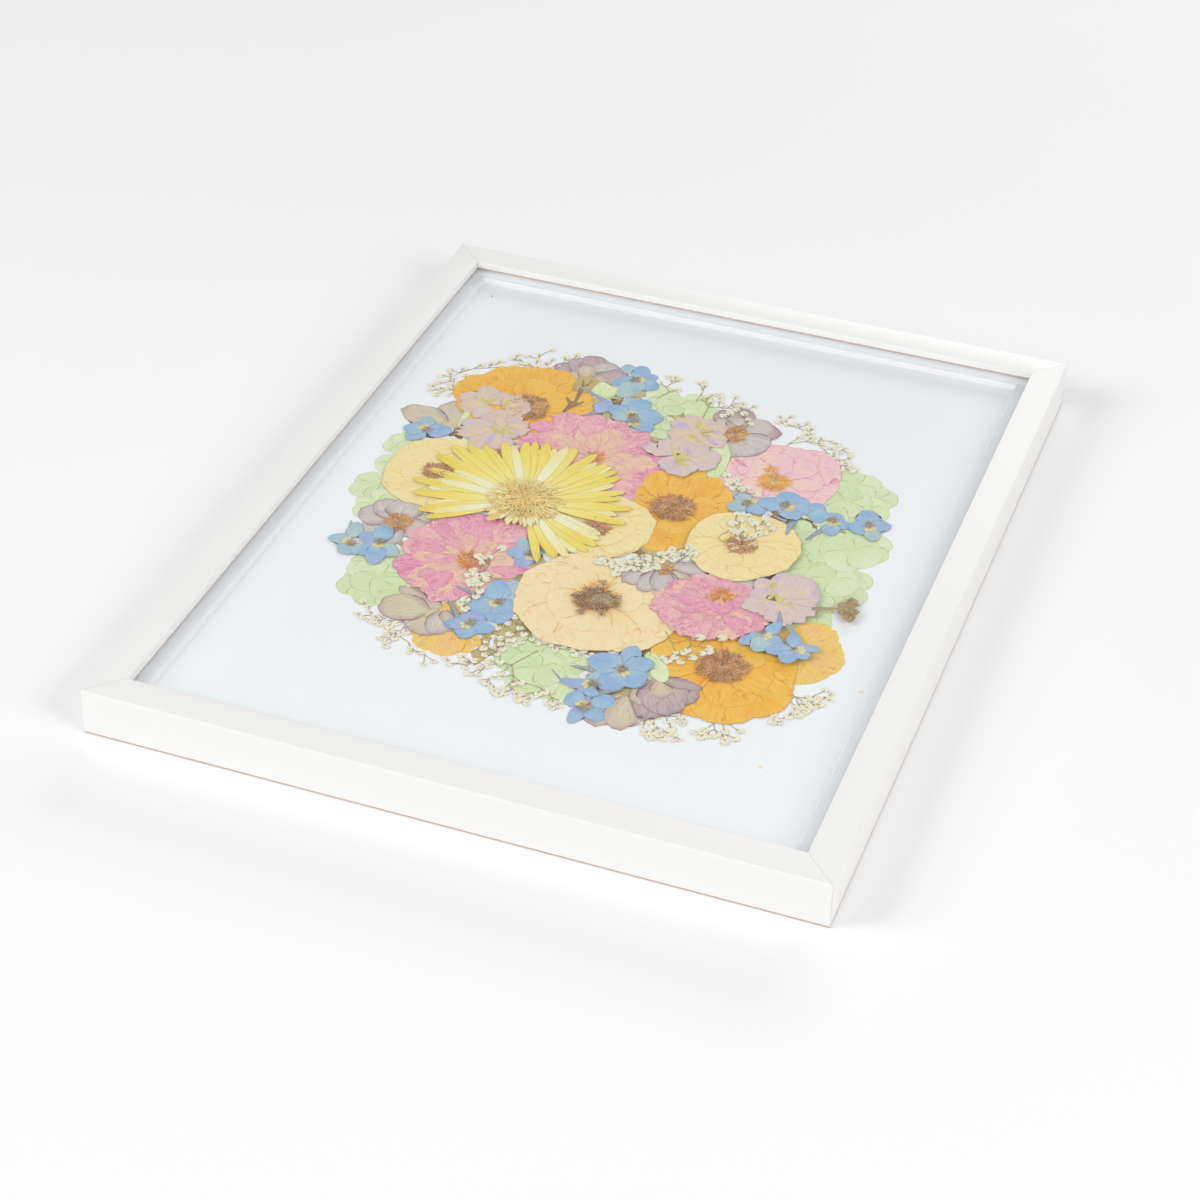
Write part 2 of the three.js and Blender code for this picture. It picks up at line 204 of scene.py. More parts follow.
# Mount board: white acid-free board that the flowers are laid out on. Its matt
# face has a fine tooth, and a little dust has settled on it near the corner.
board_finish, tree, surface = new_material("mount_board_white")
tooth = noise(tree, 1400.0, 4.0)
paper = mixed_colour(tree, noise(tree, 9.0, 3.0), tone(248, 251, 252), tone(246, 249, 251))
paper = mixed_colour(tree, fade(tree, tooth, 0.3, 0.8, 0, 0.35), paper, tone(243, 246, 246))
dress(tree, surface, paper, fade(tree, tooth, 0.2, 0.8, 0.78, 0.9), tooth, 0.12)


def refinish(node, finish):
    """Gives a CAD node a finish in place of the one it was packed with."""
    nodes[node].data.materials.clear()
    nodes[node].data.materials.append(finish)


refinish("mount_board", board_finish)


# Dried scraps and painted gap shade: brown and olive bits of leaf left in the gaps of
# the bouquet, laid on the board before anything else. The brown ones also stand for
# the shade that falls into those gaps. Every flower is a pile of thin glued petals.
BOARD_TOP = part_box("mount_board")[1].z / MM
GLASS_GAP = 0.06
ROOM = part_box("glass")[0].z / MM - BOARD_TOP - GLASS_GAP
HALF_X = 132
HALF_Y = 136
PETAL_STEP = 0.02
SQUEEZED = 0.4
SMOOTHINGS = 4
FINER = 4
PETAL_THICK = 0.018
EYE = (304, -866, 641)
GLASS_LIFT = 0.6
VEIL = 0.055
CLEAR = 0.8
DARKEST = 0.003
LIGHTEST = 0.93
pile = np.zeros((2 * HALF_X + 1, 2 * HALF_Y + 1))


def cell_of(x, y):
    """The one-millimetre square of the board that a point lies over."""
    column = np.clip(np.rint(x + HALF_X).astype(int), 1, 2 * HALF_X - 1)
    row = np.clip(np.rint(y + HALF_Y).astype(int), 1, 2 * HALF_Y - 1)
    return column, row


def top_under(x, y):
    """Height of the pile of flowers under a point and just around it, above the board."""
    column, row = cell_of(x, y)
    around = [pile[column + i, row + j] for i in (-1, 0, 1) for j in (-1, 0, 1)]
    return np.max(around, axis=0)


def pile_up(x, y, top):
    """Raises the pile to this height at these points."""
    np.maximum.at(pile, cell_of(x, y), top)


def settled(x, y, least=0.0):
    """Moves points from where they show at the level of the board, seen from EYE, to where they lie."""
    height = float(np.mean(np.maximum(top_under(x, y) + PETAL_STEP, least))) + GLASS_LIFT
    share = height / EYE[2]
    return x + (EYE[0] - x) * share, y + (EYE[1] - y) * share


def lay_sheet(x, y, least, step):
    """Lays a sheet of points on the pile: it bridges small steps, and is pressed closer near the glass."""
    under = top_under(x, y)
    z = np.maximum(under + step * np.clip((ROOM - under) / SQUEEZED, 0.04, 1), least)
    for _ in range(SMOOTHINGS):
        padded = np.pad(z, 1, mode="edge")
        level = (padded[:-2, 1:-1] + padded[2:, 1:-1] + padded[1:-1, :-2] + padded[1:-1, 2:]) / 4
        z = np.maximum(z, level)
    z = np.minimum(z, ROOM)
    fine_i = np.linspace(0, x.shape[0] - 1, FINER * x.shape[0])
    fine_j = np.linspace(0, x.shape[1] - 1, FINER * x.shape[1])

    def between(grid):
        rows = np.array([np.interp(fine_i, range(x.shape[0]), column) for column in grid.T])
        return np.array([np.interp(fine_j, range(x.shape[1]), line) for line in rows.T])

    pile_up(between(x), between(y), between(z))
    return z


def rows_from(text):
    """Rows of numbers from text, with a comma after each row."""
    return [tuple(float(number) for number in row.split()) for row in text.split(",")]


class Bloom:
    """One pressed flower: thin petals gathered into one mesh, and the finishes that they wear."""

    def __init__(self, name, seed, step=PETAL_STEP):
        self.name = name
        self.step = step
        self.random = random.Random(seed)
        self.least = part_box(name)[0].z / MM - BOARD_TOP if name in nodes else 0
        self.points, self.faces, self.marks, self.slots, self.finishes = [], [], [], [], []

    def add_sheet(self, x, y, z, across, along, rim, finish):
        """A closed thin sheet from a grid of points in millimetres."""
        if finish not in self.finishes:
            self.finishes.append(finish)
        rows, columns = x.shape
        first = len(self.points)
        each = rows * columns
        petal = self.random.random()
        for thick in (0, -PETAL_THICK):
            height = (z + thick + BOARD_TOP).ravel()
            self.points += list(zip(x.ravel(), y.ravel(), height))
            self.marks += [(a, b, petal, r / 10) for a, b, r in zip(across.ravel(), along.ravel(), rim.ravel())]
        quads = []
        for i in range(rows - 1):
            for j in range(columns - 1):
                corner = first + i * columns + j
                quad = (corner, corner + 1, corner + columns + 1, corner + columns)
                quads.append(quad)
                quads.append(tuple(each + k for k in reversed(quad)))
        edge = [i * columns for i in range(rows)]
        edge += [(rows - 1) * columns + j for j in range(1, columns)]
        edge += [i * columns + columns - 1 for i in range(rows - 2, -1, -1)]
        edge += [j for j in range(columns - 2, 0, -1)]
        for a, b in zip(edge, edge[1:] + edge[:1]):
            quads.append((first + a, first + b, first + each + b, first + each + a))
        self.faces += quads
        self.slots += [self.finishes.index(finish)] * len(quads)

    def petal(
        self, base, tip, width, finish, rounded=0.45, neck=0.18, fullest=0.7, pinch=0.06, ruffle=0.03, bend=0.0,
        grid=(13, 9),
    ):
        """One petal in millimetres: its veins run from the base and spread to a rounded tip."""
        columns, rows = grid
        draw = self.random
        waves = [(draw.uniform(1.5, 14), draw.uniform(0, 6.3), draw.uniform(0.3, 1)) for _ in range(5)]
        base, tip = np.array(base, float), np.array(tip, float)
        length = np.linalg.norm(tip - base)
        axis = (tip - base) / length
        side = np.array((-axis[1], axis[0]))
        u = np.sin(np.linspace(-math.pi / 2, math.pi / 2, columns))[:, None]
        v = np.linspace(0, 1, rows)[None, :]
        v = (v + np.sin(v * math.pi / 2)) / 2
        wave = sum(size * np.sin(pace * u + start) for pace, start, size in waves) / 2.2
        reach = (1 - rounded) + rounded * np.sqrt(1 - u**2) + ruffle * wave
        girth = neck + (1 - neck) * np.sin(np.minimum(v / fullest, 1) * math.pi / 2)
        girth = girth * (1 - pinch * np.clip((v - fullest) / (1 - fullest), 0, 1) ** 2)
        girth = girth * (1 + ruffle * (np.sin(9 * v + waves[0][1]) + 0.6 * np.sin(23 * v + waves[1][1])))
        run = v * reach
        sway = u * girth * width / 2 + bend * length * run**2
        x = base[0] + axis[0] * length * run + side[0] * sway
        y = base[1] + axis[1] * length * run + side[1] * sway
        rim = np.minimum((1 - np.abs(u)) * girth * width / 2, (1 - v) * length * reach)
        x, y = settled(x, y, self.least)
        z = lay_sheet(x, y, self.least, self.step)
        self.add_sheet(x, y, z, u * 0.5 + 0.5 + 0 * v, run, rim, finish)

    def petals(self, rows, *finishes, **shape):
        """Petals from rows of base x, base y, tip x, tip y, width and, where it isn't the first, the finish."""
        for *ends, width, which in [row if len(row) == 6 else (*row, 0) for row in rows]:
            self.petal(ends[:2], ends[2:], width, finishes[int(which)], **shape)

    def fan(self, x, y, rows, *finishes, start=0.06, **shape):
        """Petals round a centre from rows of direction in degrees, reach, width and the finish."""
        for way, reach, width, which in [row if len(row) == 4 else (*row, 0) for row in rows]:
            out = np.array((math.cos(math.radians(way)), math.sin(math.radians(way)))) * reach
            self.petal((x, y) + start * out, (x, y) + out, width, finishes[int(which)], **shape)

    def finished(self):
        """Builds the mesh, smooth with sharp edges, and puts it in place of its CAD node."""
        mesh = bpy.data.meshes.new(self.name)
        mesh.from_pydata([tuple(c * MM for c in p) for p in self.points], [], self.faces)
        marks = mesh.attributes.new("petal", "FLOAT_COLOR", "POINT")
        marks.data.foreach_set("color", np.array(self.marks, np.float32).ravel())
        for finish in self.finishes:
            mesh.materials.append(finish)
        mesh.polygons.foreach_set("material_index", self.slots)
        mesh.polygons.foreach_set("use_smooth", [True] * len(self.faces))
        mesh.set_sharp_from_angle(angle=math.radians(50))
        made = new_object(self.name, mesh)
        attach(made, "root")
        if self.name in nodes:
            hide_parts(self.name)
        return made


LOOK = dict(
    vein_count=8, vein_width=0.25, vein_waver=0.5, vein_share=0.3, blotch_scale=90, blotch_share=0.3,
    blotch_edge=0.12, fibre_count=30, fibre_run=3, fibre_share=0.3, crease_count=5, crease_width=0.02,
    crease_share=0.3, band_width=2.0, band_share=0.3, rim_width=0.45, rim_share=0.6, petal_share=0.45,
    relief=0.25,
)


def petal_marks_group():
    """Masks that follow each petal from its base to its rim: veins, fibres, blotches, creases and the rim."""
    group = bpy.data.node_groups.new("petal_marks", "ShaderNodeTree")
    counts = "vein_count vein_width vein_waver blotch_scale fibre_count fibre_run crease_count crease_width"
    for name in f"{counts} band_width rim_width".split():
        group.interface.new_socket(name, in_out="INPUT", socket_type="NodeSocketFloat").default_value = LOOK[name]
    for name in "Veins Fibre Blotch Crease Band Rim Along Petal".split():
        group.interface.new_socket(name, in_out="OUTPUT", socket_type="NodeSocketFloat")
    given = group.nodes.new("NodeGroupInput").outputs
    result = group.nodes.new("NodeGroupOutput").inputs
    marks = add_node(group, "ShaderNodeAttribute", {"attribute_name": "petal"})
    across, along, petal = add_node(group, "ShaderNodeSeparateColor", Color=marks.outputs["Color"]).outputs
    place = add_node(group, "ShaderNodeTexCoord").outputs["Object"]
    shifted = add_node(group, "ShaderNodeVectorMath", {"operation": "ADD"})
    group.links.new(place, shifted.inputs[0])
    group.links.new(petal, shifted.inputs[1])
    spot = shifted.outputs[0]

    coarse = add_node(group, "ShaderNodeTexNoise", Vector=spot, Scale=130.0, Detail=3.0).outputs["Fac"]
    fine = add_node(group, "ShaderNodeTexNoise", Vector=spot, Scale=520.0, Detail=3.0).outputs["Fac"]
    drift = calculate(group, "MULTIPLY", calculate(group, "SUBTRACT", coarse, 0.5), given["vein_waver"])
    shaken = calculate(group, "MULTIPLY_ADD", drift, 0.35, across)

    def vein_set(count, width):
        """Lines from base to rim, as bright as they are near."""
        pace = calculate(group, "MULTIPLY_ADD", shaken, count, calculate(group, "MULTIPLY", petal, 7.0))
        saw = calculate(group, "SUBTRACT", calculate(group, "FRACT", pace), 0.5)
        near = calculate(group, "ABSOLUTE", calculate(group, "MULTIPLY", saw, 2.0))
        return fade(group, near, 0.0, width, 1.0, 0.0)

    def strands(count, run, salt, **more):
        """Noise drawn out from base to rim."""
        parts = {"X": calculate(group, "MULTIPLY", shaken, count), "Y": calculate(group, "MULTIPLY", along, run)}
        drawn = add_node(group, "ShaderNodeCombineXYZ", Z=calculate(group, "MULTIPLY", petal, salt), **parts)
        return add_node(group, "ShaderNodeTexNoise", Vector=drawn.outputs[0], Scale=1.0, **more).outputs["Fac"]

    main = vein_set(given["vein_count"], given["vein_width"])
    double = calculate(group, "MULTIPLY", given["vein_count"], 2.3)
    outer = fade(group, along, 0.35, 0.75, 0.0, 0.8)
    branch = calculate(group, "MULTIPLY", vein_set(double, given["vein_width"]), outer)
    both = calculate(group, "MAXIMUM", main, branch)
    group.links.new(calculate(group, "MULTIPLY", both, fade(group, fine, 0.35, 0.6, 0.35, 1.0)), result["Veins"])
    fibres = strands(given["fibre_count"], given["fibre_run"], 31.0, Detail=5.0, Roughness=0.6)
    group.links.new(fibres, result["Fibre"])
    folds = strands(given["crease_count"], 1.6, 23.0, Detail=3.0, Roughness=0.45)
    near = calculate(group, "ABSOLUTE", calculate(group, "SUBTRACT", folds, 0.5))
    lines = fade(group, near, 0.0, given["crease_width"], 1.0, 0.0)
    broken = fade(group, coarse, 0.4, 0.6, 0.15, 1.0)
    group.links.new(calculate(group, "MULTIPLY", lines, broken), result["Crease"])
    blotches = {"Scale": given["blotch_scale"], "Detail": 5.0, "Roughness": 0.62}
    cloud = add_node(group, "ShaderNodeTexNoise", Vector=spot, **blotches)
    group.links.new(cloud.outputs["Fac"], result["Blotch"])
    inset = calculate(group, "MULTIPLY", marks.outputs["Alpha"], 10.0)
    for name, width, grit in (("Rim", given["rim_width"], fine), ("Band", given["band_width"], coarse)):
        torn = calculate(group, "MULTIPLY_ADD", calculate(group, "SUBTRACT", grit, 0.5), width, inset)
        group.links.new(fade(group, torn, 0.0, width, 1.0, 0.0), result[name])
    group.links.new(along, result["Along"])
    group.links.new(petal, result["Petal"])
    return group


petal_marks = petal_marks_group()


def own(colour):
    """The colour of a dried flower itself, from the paler colour that it shows through the glass."""
    shown = tone(*(int(part) for part in colour.split()))[:3]
    return (*(min(max((c - VEIL) / CLEAR, DARKEST), LIGHTEST) for c in shown), 1.0)


def petal_finish(name, colours, other, vein, rim, **look):
    """A dried petal. colours run from base to rim; other is the tone that some petals and blotches take."""
    made, tree, surface = new_material(name)
    marks = add_node(tree, "ShaderNodeGroup", {"node_tree": petal_marks})
    look = {**LOOK, "blotch": other, "fibre": vein, "crease": vein, "band": other, **look}
    for socket in marks.inputs:
        socket.default_value = look[socket.name]
    mask = marks.outputs

    ramp = add_node(tree, "ShaderNodeValToRGB", Fac=mask["Along"])
    stops, colours = ramp.color_ramp.elements, [own(colour) for colour in colours.split(",")]
    stops[0].color, stops[1].color = colours[0], colours[-1]
    for step, colour in enumerate(colours[1:-1], 1):
        stops.new(step / (len(colours) - 1)).color = colour
    hue = ramp.outputs["Color"]
    spread = look["blotch_edge"]
    # The darker rim line is partly each petal's own edge colour and partly painted shade, where its edge lies
    # over the petals beneath.
    for share, colour in (
        (fade(tree, mask["Petal"], 0.25, 1.0, 0.0, look["petal_share"]), other),
        (calculate(tree, "MULTIPLY", mask["Band"], look["band_share"]), look["band"]),
        (fade(tree, mask["Blotch"], 0.52 - spread, 0.52 + spread, 0.0, look["blotch_share"]), look["blotch"]),
        (fade(tree, mask["Fibre"], 0.35, 0.65, 0.0, look["fibre_share"]), look["fibre"]),
        (calculate(tree, "MULTIPLY", mask["Veins"], look["vein_share"]), vein),
        (calculate(tree, "MULTIPLY", mask["Crease"], look["crease_share"]), look["crease"]),
        (calculate(tree, "MULTIPLY", mask["Rim"], look["rim_share"]), rim),
    ):
        hue = mixed_colour(tree, share, hue, own(colour))
    ridges = calculate(tree, "MULTIPLY_ADD", mask["Veins"], 0.6, mask["Fibre"])
    ridges = calculate(tree, "ADD", ridges, calculate(tree, "MULTIPLY_ADD", mask["Crease"], 0.8, mask["Band"]))
    dress(tree, surface, hue, fade(tree, mask["Fibre"], 0.2, 0.8, 0.6, 0.8), ridges, look["relief"], 0.0003)
    return made


# Brown scraps: dried leaf, and also painted shade for the dark gaps between the flowers.
scrap_brown = petal_finish(
    "scrap_brown", "150 124 92, 132 104 78", "176 152 104", "92 70 52", "84 66 50", blotch_scale=260,
    blotch_share=0.6,
)
scrap_olive = petal_finish(
    "scrap_olive", "194 184 136, 186 178 134", "206 190 136", "142 132 92", "130 122 88", blotch_scale=200,
    blotch_share=0.6,
)
SCRAP = dict(ruffle=0.14, neck=0.5, fullest=0.5, pinch=0.4)
scraps = Bloom("dried_scraps", 7)
brown_scrap_and_gap_shade_places = rows_from(
    """-31 77 9, -89 42 8, -13 67 7, 70 -10 6, -78 -14 8, 15 -12 7, -51 -75 10, -20 -71 9, 20 -80 12,
    -6 -77 9, 40 -76 8, 60 33 9, 73 31 9, 77 -38 5, -34 92 8, -101 36 6, 91 -20 5, -36 -92 8, 45 -17 7,
    46 -110 8, 31 30 9"""
)
olive_places = rows_from(
    """46 -86 14, 40 -101 11, -40 -77 12, -15 -85 14, -22 -96 12, 10 -85 11, 66 27 10, 50 29 9, -4 95 9,
    -38 95 8, -12 -75 10, 27 -100 9, -25 -30 9, -62 -71 9, -22 -34 8, -24 -47 7, -76 -24 7, -12 -92 10,
    -16 -78 8, -6 90 8, -8 69 7, -44 88 7, -27 103 7, -36 79 6, -20 -104 6, -79 -43 6, -30 100 10,
    -38 84 9, 20 -10 13, 29 -3 9, -75 -17 9, -26 -16 12, -62 -14 9, 3 46 8, -66 38 10, -34 78 8,
    -24 -38 7"""
)
for finish, places in ((scrap_brown, brown_scrap_and_gap_shade_places), (scrap_olive, olive_places)):
    for x, y, size in places:
        for _ in range(2):
            way = scraps.random.uniform(0, 360)
            rows = [(way, size * 0.7, size * 0.6), (way + 180, size * 0.6, size * 0.5)]
            scraps.fan(x, y, rows, finish, start=-0.1, **SCRAP)
scraps.finished()


# Hydrangea: pale green clusters of four-sepalled florets, so thin that the edges
# of the ones beneath show. They lie flat on the board, under the other flowers.
SEPAL = dict(
    vein_count=4, vein_width=0.1, vein_share=0.35, blotch_scale=60, fibre_share=0.15, rim_width=0.4,
    rim_share=0.95, petal_share=0.8, band_share=0.25, crease_share=0.4,
)
sepal_pale = petal_finish(
    "sepal_pale_green", "208 219 172, 213 223 186, 217 226 196",
    "202 218 172", "186 204 150", "170 191 132", **SEPAL,
)
sepal_deep = petal_finish(
    "sepal_deep_green", "196 212 160, 201 217 172, 206 221 180",
    "212 222 186", "176 198 144", "158 182 124", **SEPAL,
)
hydrangeas = {
    "hydrangea_left": "-108 24 9 30 0, -105 9 9 70 0, -101 -10 12 20 1, -98 -22 12 60 0, -106 -9 11 44 1",
    "hydrangea_lower_left": """-75 -60 13 10 0, -82 -75 11 35 0, -73 -77 11 70 0, -84 -63 10 50 0,
    -78 -67 12 60 1, -69 -74 9 20 1""",
    "hydrangea_lower": "13 -93 10 20 0, 15 -108 11 50 0, 5 -109 10 10 0, -3 -96 13 35 1, 4 -101 12 75 1",
    "hydrangea_upper_right": "92 60 12 15 0, 82 66 13 40 0, 92 50 11 70 0, 82 53 13 20 1, 85 40 11 60 1",
    "hydrangea_right": """98 -2 11 20 0, 99 23 12 50 0, 83 2 13 5 1, 81 16 11 40 1, 99 -9 12 65 1,
    89 -14 12 25 1, 93 -3 12 60 0, 86 22 12 30 0, 95 19 14 78 0, 92 -27 9 50 1, 90 -35 9 10 0,
    95 -35 8 60 1""",
    "hydrangea_floret_upper": "-17 104 8 20 0, -14 94 8 50 1, 0 104 8 60 0, 6 95 9 30 0, -9 98 8 10 1",
    "hydrangea_floret_mid": "-6 77 8 30 1, -9 82 6 60 0, 3 96 8 10 0",
    "hydrangea_floret_low": "45 -78 6 60 0, 50 -86 7 25 0",
    "hydrangea_floret_side": "71 24 9 10 1, -42 98 7 30 0, -107 28 7 10 0, -97 -12 8 30 0, 78 40 9 5 1",
}
for seed, (name, florets) in enumerate(hydrangeas.items(), 11):
    cluster = Bloom(name, seed)
    for x, y, reach, turn, deep in rows_from(florets):
        draw = cluster.random
        ways = [turn + 90 * i + draw.uniform(-7, 7) for i in range(4)]
        rows = [(way, reach * draw.uniform(0.88, 1.08), reach * 1.25) for way in ways]
        shape = {"rounded": 0.42, "neck": 0.3, "fullest": 0.6, "ruffle": 0.025, "pinch": 0.1}
        cluster.fan(x, y, rows, (sepal_pale, sepal_deep)[int(deep)], start=0, **shape)
    cluster.finished()


# Baby's breath, lower sprays: olive stems, thin as thread, that fork to small
# crumpled cream florets. They lie round the edge, under the larger flowers.
def geometry_tree(name, **sockets):
    """A geometry-nodes tree that puts out one geometry, and its named inputs."""
    tree = bpy.data.node_groups.new(name, "GeometryNodeTree")
    tree.interface.new_socket("Geometry", in_out="OUTPUT", socket_type="NodeSocketGeometry")
    for key, kind in sockets.items():
        tree.interface.new_socket(key.replace("_", " "), in_out="INPUT", socket_type="NodeSocket" + kind)
    return tree, tree.nodes.new("NodeGroupInput").outputs


def put_out(tree, geometry):
    """Makes a geometry the output of its tree."""
    tree.links.new(geometry, tree.nodes.new("NodeGroupOutput").inputs[0])
    return tree


def worn(tree, geometry, finish):
    """A geometry with its instances made real, in one finish."""
    real = add_node(tree, "GeometryNodeRealizeInstances", Geometry=geometry)
    return add_node(tree, "GeometryNodeSetMaterial", Geometry=real.outputs[0], Material=finish).outputs[0]


def grown(name, source, tree, **values):
    """Runs a geometry-nodes tree on a mesh and returns the plain mesh object that it makes."""
    made = new_object(name, source)
    modifier = made.modifiers.new("grown", "NODES")
    modifier.node_group = tree
    for item in tree.interface.items_tree:
        key = item.name.replace(" ", "_")
        if item.in_out == "INPUT" and key in values:
            modifier[item.identifier] = values[key]
    result = bpy.data.meshes.new_from_object(made.evaluated_get(bpy.context.evaluated_depsgraph_get()))
    made.modifiers.remove(modifier)
    made.data = result
    return made


def join_to(flower, *parts):
    """Makes the parts and the flower one mesh."""
    together = [flower, *parts]
    with bpy.context.temp_override(active_object=flower, selected_editable_objects=together):
        bpy.ops.object.join()


def stem_tree():
    """Geometry nodes that turn a branching line into thin round stems."""
    tree, given = geometry_tree("thread_stems", Geometry="Geometry", Stem_Radius="Float", Finish="Material")
    line = add_node(tree, "GeometryNodeMeshToCurve", Mesh=given["Geometry"]).outputs[0]
    ring = add_node(tree, "GeometryNodeCurvePrimitiveCircle", Resolution=5, Radius=given["Stem Radius"])
    round_section = ring.outputs["Curve"]
    tube = add_node(tree, "GeometryNodeCurveToMesh", Curve=line, Profile_Curve=round_section, Fill_Caps=True)
    return put_out(tree, worn(tree, tube.outputs[0], given["Finish"]))


def floret_tree(floret):
    """Geometry nodes that set a floret and its calyx on each point, turned and sized by the point."""
    sockets = {"Geometry": "Geometry", "Floret_Size": "Float", "Petals": "Material", "Calyx": "Material"}
    tree, given = geometry_tree("floret_scatter", **sockets)
    shape = add_node(tree, "GeometryNodeObjectInfo", Object=floret).outputs["Geometry"]
    read = {"data_type": "FLOAT"}
    turned = add_node(tree, "GeometryNodeInputNamedAttribute", read, Name="turn").outputs[0]
    sized = add_node(tree, "GeometryNodeInputNamedAttribute", read, Name="size").outputs[0]
    way = add_node(tree, "ShaderNodeCombineXYZ", Z=turned).outputs[0]
    big = calculate(tree, "MULTIPLY", sized, given["Floret Size"])
    scale = add_node(tree, "ShaderNodeCombineXYZ", X=big, Y=big, Z=given["Floret Size"]).outputs[0]

    def set_on_points(instance, finish):
        turning = {"Instance": instance, "Rotation": way, "Scale": scale}
        placed = add_node(tree, "GeometryNodeInstanceOnPoints", Points=given["Geometry"], **turning)
        return worn(tree, placed.outputs[0], finish)

    cone = add_node(tree, "GeometryNodeMeshCone", Vertices=5, Radius_Top=0.2, Radius_Bottom=0.07, Depth=0.5)
    lying = add_node(
        tree, "GeometryNodeTransform", Geometry=cone.outputs["Mesh"],
        Rotation=(0, math.pi / 2, 0), Translation=(-0.5, 0, 0.05), Scale=(1, 1, 0.5),
    )
    both = tree.nodes.new("GeometryNodeJoinGeometry")
    tree.links.new(set_on_points(shape, given["Petals"]), both.inputs[0])
    tree.links.new(set_on_points(lying.outputs[0], given["Calyx"]), both.inputs[0])
    return put_out(tree, both.outputs[0])


def floret_mesh():
    """A crumpled floret of unit size, pressed from the side: broad petals that fan out from the calyx."""
    draw = random.Random(5)
    points, faces, marks = [], [], []
    petals = 12
    for i in range(petals):
        direction = math.radians(-125 + 250 * ((i * 5) % petals) / (petals - 1) + draw.uniform(-9, 9))
        reach = draw.uniform(0.78, 1.08) * (1 - 0.13 * abs(direction))
        level = 0.02 + 0.1 * i / petals
        for step, half in enumerate((0.07, 0.19, 0.28, 0.2)):
            along = step / 3
            for side in (-1, 0, 1):
                x = along * reach * (1 - 0.12 * (side == 0) * (step == 3))
                y = side * half * draw.uniform(0.8, 1.15)
                turned_x = x * math.cos(direction) - y * math.sin(direction)
                turned_y = x * math.sin(direction) + y * math.cos(direction)
                points.append((turned_x, turned_y, level + 0.04 * (1 - side**2) + draw.uniform(0, 0.04)))
                marks.append((0.5 + side / 2, along, i / petals, 0.01 * (1 - abs(side))))
        for step in range(3):
            for side in range(2):
                corner = 12 * i + 3 * step + side
                faces.append((corner, corner + 3, corner + 4, corner + 1))
    mesh = bpy.data.meshes.new("breath_floret")
    mesh.from_pydata(points, [], faces)
    written = mesh.attributes.new("petal", "FLOAT_COLOR", "POINT")
    written.data.foreach_set("color", np.array(marks, np.float32).ravel())
    bm = bmesh.new()
    bm.from_mesh(mesh)
    for face in bm.faces:
        if face.normal.z < 0:
            face.normal_flip()
    bm.to_mesh(mesh)
    bm.free()
    return mesh


BREATH = dict(
    vein_count=2, vein_share=0.2, blotch_edge=0.05, blotch_scale=700, fibre_share=0.15, rim_width=0.15,
    rim_share=0.25, crease_share=0.0, band_share=0.0, relief=0.1,
)
breath_cream = petal_finish(
    "breath_cream", "198 174 132, 242 233 210, 246 240 222", "244 235 210", "222 206 174", "232 220 192",
    blotch="190 166 126", blotch_share=0.3, **BREATH,
)
breath_white = petal_finish(
    "breath_white", "190 188 136, 240 236 216, 244 240 224", "240 234 206", "206 202 162", "226 220 192",
    blotch="182 178 130", blotch_share=0.4, **BREATH,
)
stem_olive = petal_finish(
    "stem_olive", "172 164 124, 178 168 128, 170 162 124", "180 160 126", "146 134 100", "148 136 104",
    blotch="176 168 118", blotch_scale=300, blotch_share=0.6, crease_share=0.0, band_share=0.0,
    rim_share=0.0, relief=0.1,
)
STEM_RADIUS = 0.14
STEM_STEP = 2.0
STEM_TOP = 0.1
FLORET_LIFT = 0.12
FLORET_TOP = 0.3
FLORET_ROOM = 0.42
floret_shape = bpy.data.objects.new("breath_floret", floret_mesh())
thread_stems = stem_tree()
floret_scatter = floret_tree(floret_shape)


def grow_branches(root, places, draw):
    """Forking stems, in millimetres, from a root to every floret, and which way each floret faces."""
    root = np.array(root, float)
    florets, forks, lines = [], [root], []
    for place in sorted((np.array(p, float) for p in places), key=lambda p: np.linalg.norm(p - root)):
        inner = [f for f in forks if np.linalg.norm(f - root) < 0.93 * np.linalg.norm(place - root)] or [root]
        start = min(inner, key=lambda f: np.linalg.norm(f - place))
        way = place - start
        fork = start + way * draw.uniform(0.4, 0.7) + np.array((-way[1], way[0])) * draw.uniform(-0.14, 0.14)
        forks.append(fork)
        lines.append((start, fork))
        lines.append((fork, place))
        last = place - fork
        florets.append((*place, math.atan2(last[1], last[0]) + draw.uniform(-0.4, 0.4)))
    return florets, lines


def raised(x, y, z):
    """Points in metres, from millimetres with z taken from the board."""
    return [(a * MM, b * MM, (c + BOARD_TOP) * MM) for a, b, c in zip(x, y, z)]


